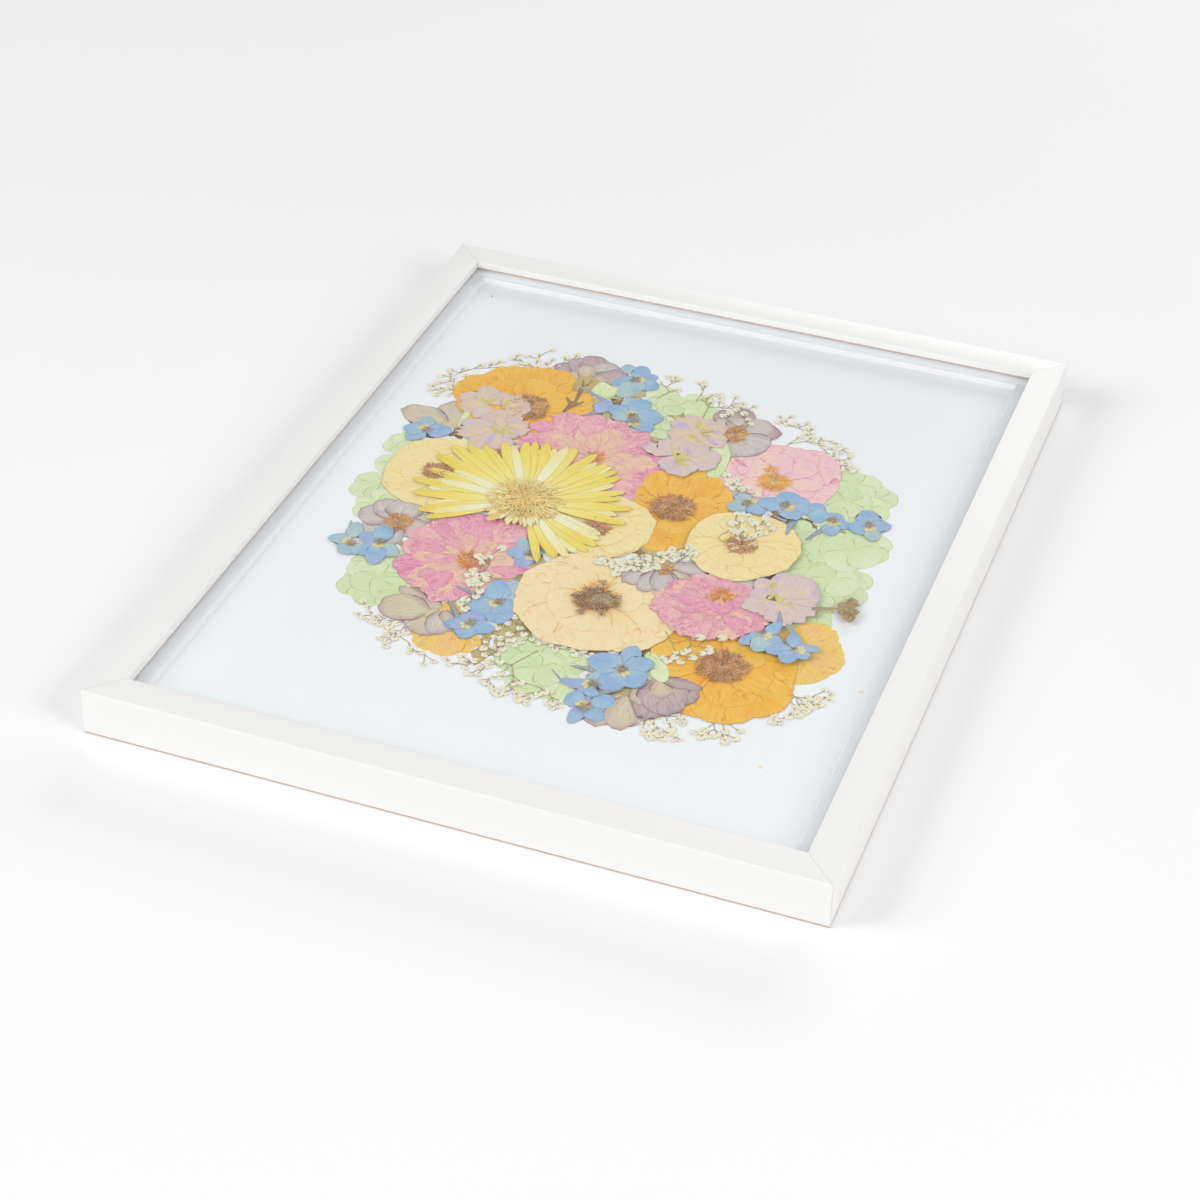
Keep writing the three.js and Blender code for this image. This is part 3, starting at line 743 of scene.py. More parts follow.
def add_spray(name, spots, seed, size=2.0, petals=breath_cream):
    """One spray as one mesh, from its root and its florets in millimetres. It lies on what is beneath it."""
    draw = random.Random(seed)
    florets, lines = grow_branches(spots[0], spots[1:], draw)
    points, links = [], []
    for start, end in lines:
        steps = max(2, int(np.linalg.norm(end - start) / STEM_STEP))
        for step in range(steps + 1):
            points.append(start + (end - start) * step / steps)
            if step:
                links.append((len(points) - 2, len(points) - 1))
    x, y = settled(*np.array(points).T)
    rest = np.minimum(top_under(x, y) + STEM_RADIUS, ROOM - STEM_RADIUS)
    mesh = bpy.data.meshes.new("stem_lines")
    mesh.from_pydata(raised(x, y, rest), links, [])
    spray = grown(name, mesh, thread_stems, Stem_Radius=STEM_RADIUS * MM, Finish=stem_olive)
    head_x, head_y, ways = np.array(florets).T
    head_x, head_y = settled(head_x, head_y)
    high = np.minimum(top_under(head_x, head_y) + FLORET_LIFT, ROOM - FLORET_ROOM)
    mesh = bpy.data.meshes.new("floret_spots")
    mesh.from_pydata(raised(head_x, head_y, high), [], [])
    mesh.attributes.new("turn", "FLOAT", "POINT").data.foreach_set("value", np.ascontiguousarray(ways))
    sizes = [draw.uniform(0.75, 1.25) for _ in florets]
    mesh.attributes.new("size", "FLOAT", "POINT").data.foreach_set("value", sizes)
    heads = grown(name + "_florets", mesh, floret_scatter, Floret_Size=size * MM, Petals=petals, Calyx=stem_olive)
    join_to(spray, heads)
    pile_up(x, y, rest + STEM_TOP)
    pile_up(head_x, head_y, high + FLORET_TOP)
    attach(spray, "root")


# Each spray: x and y of its root, and then of its florets.
lower_sprays = {
    "breath_top_left": """-92 74, -107 91, -112 88, -104 86, -111 85, -114 82, -108 82, -110 79,
    -113 76, -115 73, -114 69, -110 67, -107 73, -105 69, -104 78, -107 77, -111 72, -101 97, -97 100,
    -94 103, -92 99""",
    "breath_top": """-66 95, -89 111, -90 107, -86 104, -84 112, -82 106, -79 110, -77 105, -75 109,
    -73 113, -80 115, -76 121, -69 110, -68 117, -65 114, -64 121, -61 118, -87 108, -72 106""",
    "breath_top_right": """6 92, 4 112, 8 111, 5 106, 0 107, 9 108, 14 114, 16 109, 12 105, 17 106,
    24 110, 23 105, 19 110, 2 109, 7 113, 21 106""",
    "breath_top_stray": "-18 100, -19 119, -17 117, -16 120, -14 118, -12 110, -21 113",
    "breath_top_single": "-1 104, -3 120, -5 119, -2 118",
    "breath_right_top": """47 76, 37 106, 38 102, 42 108, 42 101, 46 103, 50 105, 53 102, 52 97, 50 93,
    55 95, 59 96, 60 92, 40 104, 51 100, 57 92, 54 98, 64 95, 67 94, 66 90, 68 87, 71 92, 74 89, 66 85,
    75 86, 70 88, 62 90, 69 84, 72 81, 76 80, 78 76, 74 76, 72 73, 74 83, 79 78""",
    "breath_right_low": """84 -74, 106 -80, 109 -81, 110 -79, 112 -82, 110 -84, 107 -84, 105 -86,
    108 -88, 104 -89, 106 -91, 103 -93, 100 -96, 101 -98, 99 -99, 97 -94, 98 -98, 114 -74, 115 -78,
    113 -77, 111 -73, 105 -82, 108 -86, 103 -86""",
    "breath_bottom_right": """62 -98, 54 -112, 57 -112, 52 -117, 54 -120, 56 -122, 58 -121, 60 -118,
    61 -121, 60 -124, 63 -123, 64 -119, 64 -116, 67 -122, 69 -121, 66 -119, 61 -113, 64 -111, 67 -110,
    67 -112, 65 -108, 57 -117, 55 -115, 58 -124""",
    "breath_bottom_far": """76 -98, 75 -114, 73 -115, 76 -117, 78 -115, 80 -115, 81 -113, 84 -114,
    83 -110, 85 -116, 88 -108, 88 -113, 76 -112""",
    "breath_bottom": """0 -90, -31 -108, -28 -110, -26 -104, -24 -107, -22 -110, -20 -105, -19 -113,
    -17 -108, -15 -103, -14 -106, -13 -115, -11 -116, -9 -117, -7 -118, -6 -120, -4 -121, -3 -116,
    -1 -113, 1 -111, 1 -117, 3 -119, 4 -121, 7 -120, 8 -122, 9 -117, 10 -115, 12 -113, 15 -119, 17 -118,
    18 -121, 19 -116, -8 -108, -7 -111, -10 -112, 14 -112, 20 -119, 5 -117, -2 -119, -16 -112""",
    "breath_bottom_left": """-46 -82, -76 -86, -73 -88, -75 -94, -71 -91, -68 -93, -69 -96, -66 -92,
    -64 -97, -62 -94, -60 -97, -62 -90, -58 -94, -57 -99, -55 -103, -57 -106, -60 -105, -56 -109,
    -52 -98, -54 -93, -47 -106, -46 -109, -42 -108, -38 -114, -35 -111, -67 -96, -59 -101, -72 -95,
    -54 -100""",
    "breath_middle_low": """-8 -70, -19 -75, -16 -73, -17 -78, -20 -82, -19 -88, -22 -86, -24 -90,
    -25 -94, -24 -97, -14 -84, -13 -88, -12 -87, -10 -90, -15 -91, -17 -94, -20 -96, -13 -94, -9 -82,
    -5 -84, -2 -86, 3 -85, 8 -84, 12 -85, 16 -84, 20 -85, -14 -98, -11 -102, -22 -79, -12 -79, -8 -87,
    -16 -88, -21 -92, 6 -87, 14 -87, -18 -100""",
}
for seed, (name, spots) in enumerate(lower_sprays.items(), 101):
    add_spray(name, rows_from(spots), seed)


# Mauve roses: grey-mauve petals, nearly all pressed one by one, pale inside and
# purple-brown along the rim. Two have a tuft of tan stamens.
GOLDEN_ANGLE = 2.39996
TUFT_ROOM = 0.4
TUFT_HEIGHT = 0.34
TUFT_GAP = 0.06


def tuft_tree():
    """Geometry nodes for a pressed tuft: fine filaments that lean outwards round a centre."""
    sockets = {"Count": "Int", "Radius": "Vector", "Centre": "Vector", "Length": "Float", "Thickness": "Float"}
    tree, given = geometry_tree("pressed_tuft", **sockets, Lean="Float", Seed="Int", Finish="Material")

    def random_between(low, high, salt):
        node = tree.nodes.new("FunctionNodeRandomValue")
        for socket, value in ((node.inputs[2], low), (node.inputs[3], high)):
            socket.default_value = value
        tree.links.new(calculate(tree, "ADD", given["Seed"], salt), node.inputs["Seed"])
        return node.outputs[1]

    points = add_node(tree, "GeometryNodePoints", Count=given["Count"]).outputs[0]
    index = tree.nodes.new("GeometryNodeInputIndex").outputs[0]
    share = calculate(tree, "DIVIDE", calculate(tree, "ADD", index, 0.5), given["Count"])
    ring = calculate(tree, "MULTIPLY", calculate(tree, "SQRT", share), random_between(0.82, 1.14, 1))
    angle = calculate(tree, "MULTIPLY_ADD", index, GOLDEN_ANGLE, random_between(-0.4, 0.4, 2))
    across = calculate(tree, "MULTIPLY", ring, calculate(tree, "COSINE", angle))
    along = calculate(tree, "MULTIPLY", ring, calculate(tree, "SINE", angle))
    out = add_node(tree, "ShaderNodeCombineXYZ", X=across, Y=along, Z=random_between(0.0, 0.0002, 3))
    spread = add_node(tree, "ShaderNodeVectorMath", {"operation": "MULTIPLY_ADD"})
    for socket, value in zip(spread.inputs, (out.outputs[0], given["Radius"], given["Centre"])):
        tree.links.new(value, socket)
    put = add_node(tree, "GeometryNodeSetPosition", Geometry=points, Position=spread.outputs[0])

    cone = {"Vertices": 4, "Radius_Top": 0.35, "Radius_Bottom": 1.0, "Depth": 1.0}
    filament = add_node(tree, "GeometryNodeMeshCone", {"fill_type": "NGON"}, **cone)
    lean = calculate(tree, "ADD", given["Lean"], random_between(-0.08, 0.06, 4))
    way = calculate(tree, "ADD", angle, random_between(-0.5, 0.5, 5))
    turned = add_node(tree, "ShaderNodeCombineXYZ", Y=lean, Z=way)
    stout = calculate(tree, "MULTIPLY", given["Thickness"], random_between(0.7, 1.4, 6))
    long = calculate(tree, "MULTIPLY", given["Length"], random_between(0.6, 1.3, 7))
    scaled = add_node(tree, "ShaderNodeCombineXYZ", X=stout, Y=stout, Z=long)
    turning = {"Instance": filament.outputs["Mesh"], "Rotation": turned.outputs[0], "Scale": scaled.outputs[0]}
    placed = add_node(tree, "GeometryNodeInstanceOnPoints", Points=put.outputs[0], **turning)
    return put_out(tree, worn(tree, placed.outputs[0], given["Finish"]))


pressed_tuft = tuft_tree()


def add_tuft(flower, x, y, radius, count, length, thickness, finish, seed, lean=1.52):
    """A tuft of stamens in millimetres, resting on the petals beneath it, and as high as those laid over it."""
    wide = np.array(radius, float) * np.ones(2)
    x, y = (float(part[0]) for part in settled(np.array([x]), np.array([y])))
    reach = np.arange(-math.ceil(max(wide)), math.ceil(max(wide)) + 1)
    across, along = (grid.ravel() for grid in np.meshgrid(reach, reach))
    inside = (across / (wide[0] + 0.8)) ** 2 + (along / (wide[1] + 0.8)) ** 2 < 1
    spots_x, spots_y = x + across[inside], y + along[inside]
    rest = min(float(np.percentile(top_under(spots_x, spots_y), 80)) + thickness * 0.6, ROOM - TUFT_ROOM)
    tuft = grown(
        flower.name + "_tuft", bpy.data.meshes.new("tuft"), pressed_tuft, Count=count, Seed=seed, Lean=lean,
        Radius=(wide[0] * MM, wide[1] * MM, 1.0), Centre=(x * MM, y * MM, (rest + BOARD_TOP) * MM),
        Length=length * MM, Thickness=thickness * MM, Finish=finish,
    )
    pile_up(spots_x, spots_y, min(rest + TUFT_HEIGHT, ROOM - TUFT_GAP))
    join_to(flower, tuft)


def stamen_finish(name, dark, light):
    """Dried stamens and seed heads: two tones that change from filament to filament."""
    made, tree, surface = new_material(name)
    grit = noise(tree, 1300.0, 3.0)
    drift = fade(tree, noise(tree, 260.0), 0.35, 0.65)
    share = calculate(tree, "MULTIPLY_ADD", drift, 0.35, fade(tree, grit, 0.35, 0.65, 0, 0.65))
    dress(tree, surface, mixed_colour(tree, share, own(dark), own(light)), fade(tree, grit, 0.3, 0.7, 0.75, 0.9))
    return made


stamen_tan = stamen_finish("stamens_tan", "184 134 86", "226 186 130")
MAUVE = dict(
    vein_count=6, vein_width=0.12, vein_share=0.25, fibre_share=0.25, blotch_scale=60, band_width=3.2,
    band_share=0.75, rim_width=0.6, rim_share=0.8, crease_share=0.55,
)
petal_mauve = petal_finish(
    "petal_mauve", "210 203 184, 207 202 190, 200 194 186", "196 190 188", "164 146 146", "134 108 112",
    band="178 160 162", crease="148 124 126", blotch_share=0.4, **MAUVE,
)
petal_buff = petal_finish(
    "petal_mauve_buff", "208 202 172, 206 198 176, 200 188 178",
    "204 192 182", "172 152 138", "136 108 112", band="180 156 158", crease="158 132 122",
    blotch="212 196 140", blotch_share=0.35, **MAUVE,
)
petal_plum = petal_finish(
    "petal_plum", "204 192 166, 190 174 168, 180 160 164", "194 180 174", "142 114 124", "118 88 98",
    band="160 136 144", blotch_share=0.4, **MAUVE,
)

# Each petal: base x, y, tip x, y, width and the finish, in the order that they were laid.
mauve_rows = {
    1: """-50 104 -70 110 14 2, -48 104 -65 118 13 2, -48 104 -57 124 15 2, -49 104 -46 121 15,
    -50 104 -36 114 13 2, -50 103 -63 106 7 1, -51 103 -58 115 9 1, -48 103 -46 109 8 1""",
    2: "-104 47 -112 42 7 2, -94 44 -99 66 18 1, -97 46 -119 52 16 1",
    3: """-85 -29 -75 -18 13, -86 -30 -73 -33 14, -86 -31 -82 -46 9, -86 -30 -98 -45 15,
    -88 -30 -104 -26 16, -88 -28 -99 -17 13, -86 -28 -88 -12 16""",
    4: """-52 -77 -67 -71 7 1, -44 -79 -36 -91 14 1, -46 -78 -56 -78 10 1, -46 -80 -49 -97 20 1,
    -50 -82 -70 -84 18 1, -45 -80 -41 -95 11, -44 -79 -39 -87 6 1""",
    5: "42 -104 30 -122 12 2, 40 -104 50 -120 11 1, 40 -104 35 -125 16 1, 42 -104 45 -124 14 1",
    6: """50 -92 53 -114 16 2, 48 -91 47 -107 11 1, 52 -90 67 -98 15 2, 50 -89 60 -109 20 2,
    50 -90 55 -100 9 1, 50 -89 67 -89 7 2""",
    7: """22 90 11 101 13 2, 22 90 21 107 14 2, 24 86 41 95 15 2, 23 84 28 68 14, 24 86 35 100 15,
    22 86 14 97 13, 20 88 23 99 10, 24 84 38 75 22""",
    8: """29 -17 45 -24 14 1, 30 -19 41 -35 13 1, 26 -22 10 -30 9 1, 26 -22 15 -35 11, 27 -22 24 -38 11,
    28 -21 34 -38 12, 28 -17 45 -16 8, 27 -21 32 -36 10""",
}


def add_mauve(number):
    """One mauve bloom, petal on petal."""
    bloom = Bloom(f"rose_mauve_{number}", 40 + number)
    shape = {"ruffle": 0.045, "rounded": 0.5, "neck": 0.3, "fullest": 0.75}
    bloom.petals(rows_from(mauve_rows[number]), petal_mauve, petal_buff, petal_plum, **shape)
    return bloom.finished()


add_mauve(1)
add_mauve(2)
add_tuft(add_mauve(3), -86, -30, 4.6, 150, 2.6, 0.22, stamen_tan, 3)


# Orange ranunculus: whorls of broad, papery golden petals with fine branching
# veins, round a fuzzy brown seed head. Pressed open and face up.
seed_brown = stamen_finish("seed_head_brown", "146 108 84", "220 180 136")
ORANGE = dict(
    vein_count=9, vein_width=0.14, vein_share=0.3, vein_waver=0.9, blotch_scale=45, rim_width=0.4,
    rim_share=0.75, fibre_share=0.25, crease_share=0.6, relief=0.35,
)
petal_orange = petal_finish(
    "petal_orange", "230 166 76, 237 181 80, 240 187 86", "234 172 72", "216 138 50", "208 136 56",
    blotch="244 200 106", blotch_share=0.5, band="243 198 102", band_width=3.5, crease="202 122 48",
    crease_count=7, **ORANGE,
)
petal_amber = petal_finish(
    "petal_amber", "230 184 122, 233 190 128, 238 194 118", "228 180 112", "204 154 98", "238 190 90",
    blotch="240 204 142", blotch_share=0.4, band="245 202 104", band_width=4.5, crease="190 138 88",
    **{**ORANGE, "band_share": 0.9},
)
BROAD = dict(rounded=0.36, neck=0.12, fullest=0.9, ruffle=0.028, pinch=0.0, grid=(15, 10))


def add_ranunculus(name, x, y, rows, finish, seed, slot, head=None, head_finish=seed_brown):
    """A ranunculus: direction, reach and width of its petals, then the head's x, y, radius and filaments."""
    bloom = Bloom(name, seed)
    bloom.fan(x, y, rows_from(rows), finish, **BROAD)
    flower = bloom.finished()
    if head:
        add_tuft(flower, *head, 2.4, 0.25, head_finish, seed)
    return flower


orange_rows = {
    1: """266 29 26, 311 27 22, 226 29 20, 21 30 22, 197 31 20, 168 36 28, 50 32 24, 83 34 25,
    131 34 27, 109 33 20, 150 24 20, 95 23 20, 35 21 18, 240 20 20""",
    2: "67 23 18, 29 20 18, 311 21 19, 284 20 13, 355 21 19, 113 15 15",
    3: """62 26 26, 110 23 24, 178 30 20, 152 29 24, 22 29 28, 217 26 22, 346 30 20, 325 34 28,
    260 34 25, 291 35 28, 300 25 22, 350 21 20, 60 18 18""",
    4: "140 15 12, 99 12 14, 45 11 12, 225 17 15, 315 20 13, 256 20 15, 283 21 15",
    5: """180 17 26, 245 20 20, 138 21 20, 0 27 26, 313 28 22, 46 28 24, 112 28 24, 276 32 25, 80 31 24,
    20 19 18, 300 19 18, 100 17 16""",
}


def add_orange(number, x, y, finish, *head):
    """One orange ranunculus from its rows."""
    name = f"ranunculus_orange_{number}"
    add_ranunculus(name, x, y, orange_rows[number], finish, 50 + number, "petal_orange", *head)


add_orange(1, -70, 73, petal_orange, (-69, 72, 8.6, 520))
add_orange(2, 92, -54, petal_amber)
add_orange(3, 70, -73, petal_orange, (70, -73, 8.8, 560))
add_orange(4, -38, -86, petal_amber)
for number in (4, 5, 6):
    add_mauve(number)


# Calyx and stems: the olive-tan back of one mauve rose, its forked stem, a flat
# green leaf and a few stray stalks. Glued down between the flowers round them.
STALK = dict(rounded=0.5, neck=0.85, fullest=0.3, pinch=0.3, ruffle=0.04, grid=(5, 8))
calyx_tan = petal_finish(
    "calyx_tan", "160 140 84, 190 168 108, 196 176 124", "206 190 140", "150 128 80", "134 114 74",
    vein_count=5, vein_share=0.5,
)
spur_green = petal_finish(
    "spur_green", "166 172 166, 158 166 172, 168 174 160", "150 160 184", "136 146 142", "132 138 132",
    vein_count=3,
)
leaf_green = petal_finish(
    "leaf_pale_green", "206 222 168, 212 226 178, 216 228 186", "222 224 190", "188 206 150", "176 190 140",
    vein_count=3, crease_share=0.5, rim_share=0.8,
)
stalks = Bloom("calyx_and_stems", 58)
leaf_rows = rows_from("-42 92 -45 104 9, -42 93 -38 102 7, 42 -75 52 -91 8, 40 -77 46 -84 6, -91 46 -92 63 3")
stalks.petals(leaf_rows, leaf_green)
calyx_rows = rows_from(
    """-52 93 -56 106 7.5 2, -52 93 -48 106 7.5 2, -52 93 -52 108 7 2, -52 97 -54 103 1.2 1,
    -51 98 -50 104 1.2 1, -52 96 -50.5 80 2.2 1, -51 80 -56 87 2.2 1, -51 80 -47 86 2 1,
    -51 84 -53 73 2.8 1, -50 110 -40 120 1.5 3, -39 90 -54 97 2.4 3, -61 -1 -75 -13 5 2,
    -70 -5 -64 -9 4 3"""
)
stalks.petals(calyx_rows, scrap_olive, scrap_brown, calyx_tan, spur_green, **STALK)
stalks.finished()


# Pink roses: many thin ruffled petals, magenta bled into peach, with a fibrous
# surface like wet paper. Orange-brown stamens show in the middle.
stamen_orange = stamen_finish("stamens_orange", "200 128 72", "236 182 98")
ROSE = dict(
    vein_count=9, vein_waver=1.6, vein_share=0.3, vein_width=0.25, blotch_edge=0.11, fibre_share=0.85,
    fibre_count=20, fibre_run=6, crease_share=0.55, crease_count=9, rim_width=0.5, rim_share=0.45,
    band_share=0.4, band_width=2.5, relief=0.45,
)
petal_rose = petal_finish(
    "petal_rose", "227 180 164, 222 162 172, 217 148 172", "224 166 176", "198 106 142", "200 122 150",
    blotch="212 118 158", blotch_share=0.62, blotch_scale=130, fibre="236 198 188", band="226 174 176",
    **ROSE,
)
petal_rose_deep = petal_finish(
    "petal_rose_deep", "221 158 166, 212 130 164, 207 118 160", "220 142 172", "188 84 130", "190 96 140",
    blotch="227 172 174", blotch_share=0.75, blotch_scale=170, fibre="232 180 188", **ROSE,
)
petal_rose_peach = petal_finish(
    "petal_rose_peach", "228 188 142, 227 198 160, 226 186 168",
    "226 178 172", "206 138 140", "204 136 144", blotch="219 146 170", blotch_share=0.65, blotch_scale=170,
    fibre="233 204 174", **ROSE,
)
petal_rose_pale = petal_finish(
    "petal_rose_pale", "236 208 170, 235 200 184, 233 188 194", "234 206 186", "222 150 170", "208 136 152",
    blotch="231 178 202", blotch_share=0.8, blotch_scale=110, fibre="236 212 194",
    **{**ROSE, "fibre_share": 0.6, "relief": 0.35, "crease_share": 0.7, "vein_share": 0.45, "rim_share": 0.7},
)
FRILL = dict(rounded=0.3, neck=0.22, fullest=0.82, ruffle=0.085, pinch=0.0)
FRILL_STEP = 0.01
# Each whorl: petals, reach and breadth as a share of the rose, and the direction of the first petal.
WHORLS = [(12, 1.0, 0.58, 0), (11, 0.9, 0.5, 15), (10, 0.76, 0.44, 8), (8, 0.6, 0.38, 20), (7, 0.42, 0.32, 0)]


def add_rose(number, x, y, radius_x, radius_y, tuft, seed, peach, extra=()):
    """One pink rose and its stamens. peach: how soon the petals turn peach; tuft: x, y, radius, filaments."""
    bloom = Bloom(f"rose_pink_{number}", seed, FRILL_STEP)
    draw = bloom.random
    for ring, (count, reach, breadth, start) in enumerate(WHORLS):
        for i in range(count):
            angle = math.radians(start + 360 * i / count + draw.uniform(-9, 9))
            far = reach * draw.uniform(0.93, 1.04)
            out = np.array((radius_x * math.cos(angle), radius_y * math.sin(angle))) * far
            chance = draw.random() - peach * (ring - 0.6)
            finish = petal_rose_deep if chance > 0.72 else petal_rose if chance > 0.25 else petal_rose_peach
            width = breadth * far * (radius_x + radius_y) / 2
            bloom.petal((x, y) + 0.15 * out, (x, y) + out, width, finish, **FRILL)
    bloom.petals(extra, petal_rose_deep, petal_rose_peach, petal_rose, **FRILL)
    flower = bloom.finished()
    tuft_x, tuft_y, radius, count = tuft
    add_tuft(flower, tuft_x, tuft_y, radius, count, 3.0, 0.18, stamen_orange, seed)


patches = rows_from(
    """-50 64 -62 58 9 0, -4 56 -12 64 8 0, -14 34 -3 19 16 2, -46 58 -50 75.5 13 2, -37 60 -38 78 12 2"""
)
add_rose(1, -29, 46, 33, 32.5, (-26, 46, 2.6, 34), 61, 0.29, patches)
patches = rows_from(
    """-58 -30 -69 -18 17 2, -50 -28 -53 -11 22 0, -43 -28 -37 -13 17 2, -62 -38 -78 -33 14 2,
    -60 -42 -74 -40 8 0, -60 -34 -70 -24 7 0, -56 -60 -64 -58 7 0, -38 -46 -26 -45 7 0,
    -52 -54 -56 -66 9 0"""
)
add_rose(2, -50, -43, 28.5, 30, (-47, -44, 4.6, 110), 62, 0.13, patches)
third = Bloom("rose_pink_3", 63, 0.012)
third_rows = rows_from(
    """250 22 26, 290 22 26, 330 27 28, 212 24 26, 8 27 28, 172 24 28, 48 30 28, 98 26 30, 132 27 26,
    75 27 18, 30 20 18, 80 19 18, 340 20 18, 200 17 16"""
)
third.fan(50, 59, third_rows, petal_rose_pale, **{**BROAD, "ruffle": 0.05})
inner_rows = rows_from("15 21 15, 60 22 15, 105 20 16, 155 19 15, 230 17 14, 300 18 15")
third.fan(50, 58, inner_rows, petal_rose_pale, **FRILL)
third.petals(rows_from("36 63 29 67 2.2, 72 64 74 69 1.6, 60 51 63 49 1.6"), petal_rose_deep, **FRILL)
third_flower = third.finished()
stamen_gold = stamen_finish("stamens_gold", "214 160 80", "238 198 108")
add_tuft(third_flower, 50, 56, (5.6, 5.2), 190, 2.8, 0.17, stamen_gold, 63)
add_tuft(third_flower, 46, 65, 1.6, 26, 2.6, 0.17, stamen_gold, 64)
add_orange(5, 16.5, 22, petal_orange, (16.5, 22, 8, 560))
add_tuft(add_mauve(7), 23, 85, (4.2, 4.8), 170, 2.4, 0.2, stamen_tan, 7)
leaf = Bloom("leaf_between", 59)
leaf.petals([(25, 50, 20, 82, 9), (26, 52, 26, 72, 4)], leaf_green, bend=0.08, neck=0.5, fullest=0.4)
leaf.finished()


# Delphinium florets: five sky-blue sepals, some partly violet, round a cream
# and yellow eye, each with a long grey-green spur behind it.
SKY = dict(
    vein_count=4, vein_width=0.12, vein_share=0.25, blotch_scale=110, blotch_share=0.5, rim_width=0.4,
    rim_share=0.5, band_share=0.3, band_width=1.6, crease_share=0.25,
)
petal_blue = petal_finish(
    "petal_blue", "178 200 202, 147 180 206, 141 175 209", "158 173 206", "120 152 192", "106 142 188",
    blotch="172 198 208", **SKY,
)
petal_violet = petal_finish(
    "petal_violet", "174 192 206, 160 175 207, 158 168 205", "152 182 208", "136 148 192", "120 136 184",
    blotch="172 194 210", **SKY,
)
petal_teal = petal_finish(
    "petal_teal", "182 200 194, 166 192 200, 158 186 206", "176 196 196", "134 160 172", "116 146 166",
    blotch="188 202 190", **SKY,
)
eye_cream = petal_finish(
    "eye_cream", "226 216 168, 238 232 200, 234 228 190", "224 212 140", "150 124 100", "186 170 136",
    vein_count=3, vein_share=0.4, blotch="222 208 112", blotch_share=0.5, blotch_scale=300,
)
stamen_grey = stamen_finish("stamens_grey", "132 110 96", "198 184 156")


def add_delphinium(number, petals, eyes, spurs, name="delphinium"):
    """A sprig: rows of petals and of spurs; eyes: x, y, direction in degrees."""
    sprig = Bloom(f"{name}_{number}", 70 + number + (name != "delphinium") * 20)
    sprig.petals(spurs, spur_green, **{**STALK, "bend": 0.06, "neck": 0.95})
    shape = {"rounded": 0.5, "neck": 0.25, "fullest": 0.7, "ruffle": 0.035, "pinch": 0.15, "grid": (11, 8)}
    sprig.petals(petals, petal_blue, petal_violet, petal_teal, **shape)
    for x, y, direction in eyes:
        rows = [(direction + swing, 3.4, 2.4) for swing in (-50, 0, 50)]
        sprig.fan(x, y, rows, eye_cream, start=0, ruffle=0.08, grid=(5, 4))
    flower = sprig.finished()
    for x, y, direction in eyes:
        angle = math.radians(direction + 180)
        at = (x + 1.6 * math.cos(angle), y + 1.6 * math.sin(angle))
        add_tuft(flower, *at, 1.5, 34, 1.7, 0.16, stamen_grey, number)
    return flower


delphinium_rows = {
    0: "-28 -30 -21 -24 7 2, -28 -30 -35 -21 6 2, -28 -31 -27 -41 9 1, -27 -32 -36 -31 10 1",
    1: """-27 -66 -24 -50 13 2, -27 -66 -32 -52 11, -27 -66 -20 -79 13, -27 -66 -35 -75 12,
    -27 -67 -19 -70 12, -32 -84 -31 -75 11 1, -32 -84 -21 -84 9, -32 -85 -30 -93 9, -33 -84 -41 -87 8,
    -34 -83 -38 -88 8 1""",
    2: "-103 39 -107 49 8 2, -103 39 -92 42 11, -103 38 -108 29 8, -103 38 -113 38 10",
    3: """-35 116 -41 122 8 2, -31 112 -33 124 9, -31 112 -24 118 8, -31 111 -41 104 10,
    -31 111 -34 95 11 2, -31 112 -21 107 11, -31 111 -28 103 7 2""",
    4: """-25 84 -29 97 10 2, -25 84 -22 98 11, -24 83 -12 74 11, -24 84 -10 85 14, -39 80 -37 91 8 1,
    -26 84 -36 86 10, -25 83 -31 78 8 2, -23 82 -18 74 6 2""",
    5: """-99 -49 -108 -50 8 2, -99 -47 -101 -36 7 2, -98 -50 -97 -59 9 2, -97 -50 -92 -57 7 2,
    -87 -46 -97 -43 9 1, -87 -45 -90 -33 9, -86 -47 -77 -52 9 2, -88 -48 -91 -57 8, -87 -48 -83 -61 9 1,
    -87 -48 -87 -55 6""",
    6: """45 38 37 43 8 2, 45 38 38 30 9 2, 45 37 53 32 9, 60 40 48 41 11, 60 41 59 52 12,
    61 41 67 49 10, 62 40 72 43 10, 62 39 66 31 10, 73 42 72 48 8, 74 44 76 34 9, 82 37 81 44 9,
    83 36 91 37 6, 82 36 83 27 8""",
    7: "96 41 93 51 11, 97 40 105 43 9, 97 40 90 34 11, 98 38 101 30 7 2",
    8: """32 -91 24 -103 9 2, 35 -87 34 -73 10, 35 -87 44 -80 11, 35 -90 31 -103 12, 36 -89 44 -97 13,
    34 -88 20 -86 14, 34 -90 36 -102 9""",
    9: """28 -106 24 -99 6 2, 27 -104 14 -103 6 1, 28 -112 24 -104 7 1, 28 -113 20 -113 9,
    29 -116 27 -127 7, 30 -116 38 -121 8, 31 -113 38 -107 8, 29 -109 28 -104 6""",
    10: """79 -48 71 -56 8, 79 -48 79 -59 9 2, 80 -47 87 -52 6, 80 -47 82 -37 6, 91 -52 82 -57 8,
    92 -53 91 -62 8, 93 -52 99 -56 7, 92 -50 102 -49 5, 92 -51 89 -42 6""",
}
delphinium_eyes = {
    0: "-26 -32 300",
    1: "-27 -67 230, -32 -84 240",
    2: "-104 40 150",
    3: "-31 112 20",
    4: "-24 84 110, -21 78 290",
    5: "-99 -50 160, -87 -47 280",
    6: "45 38 60, 61 41 340, 82 37 300",
    7: "97 39 300",
    8: "35 -90 300",
    9: "28 -115 130, 26 -102 200",
    10: "79 -48 0, 94 -52 20",
}
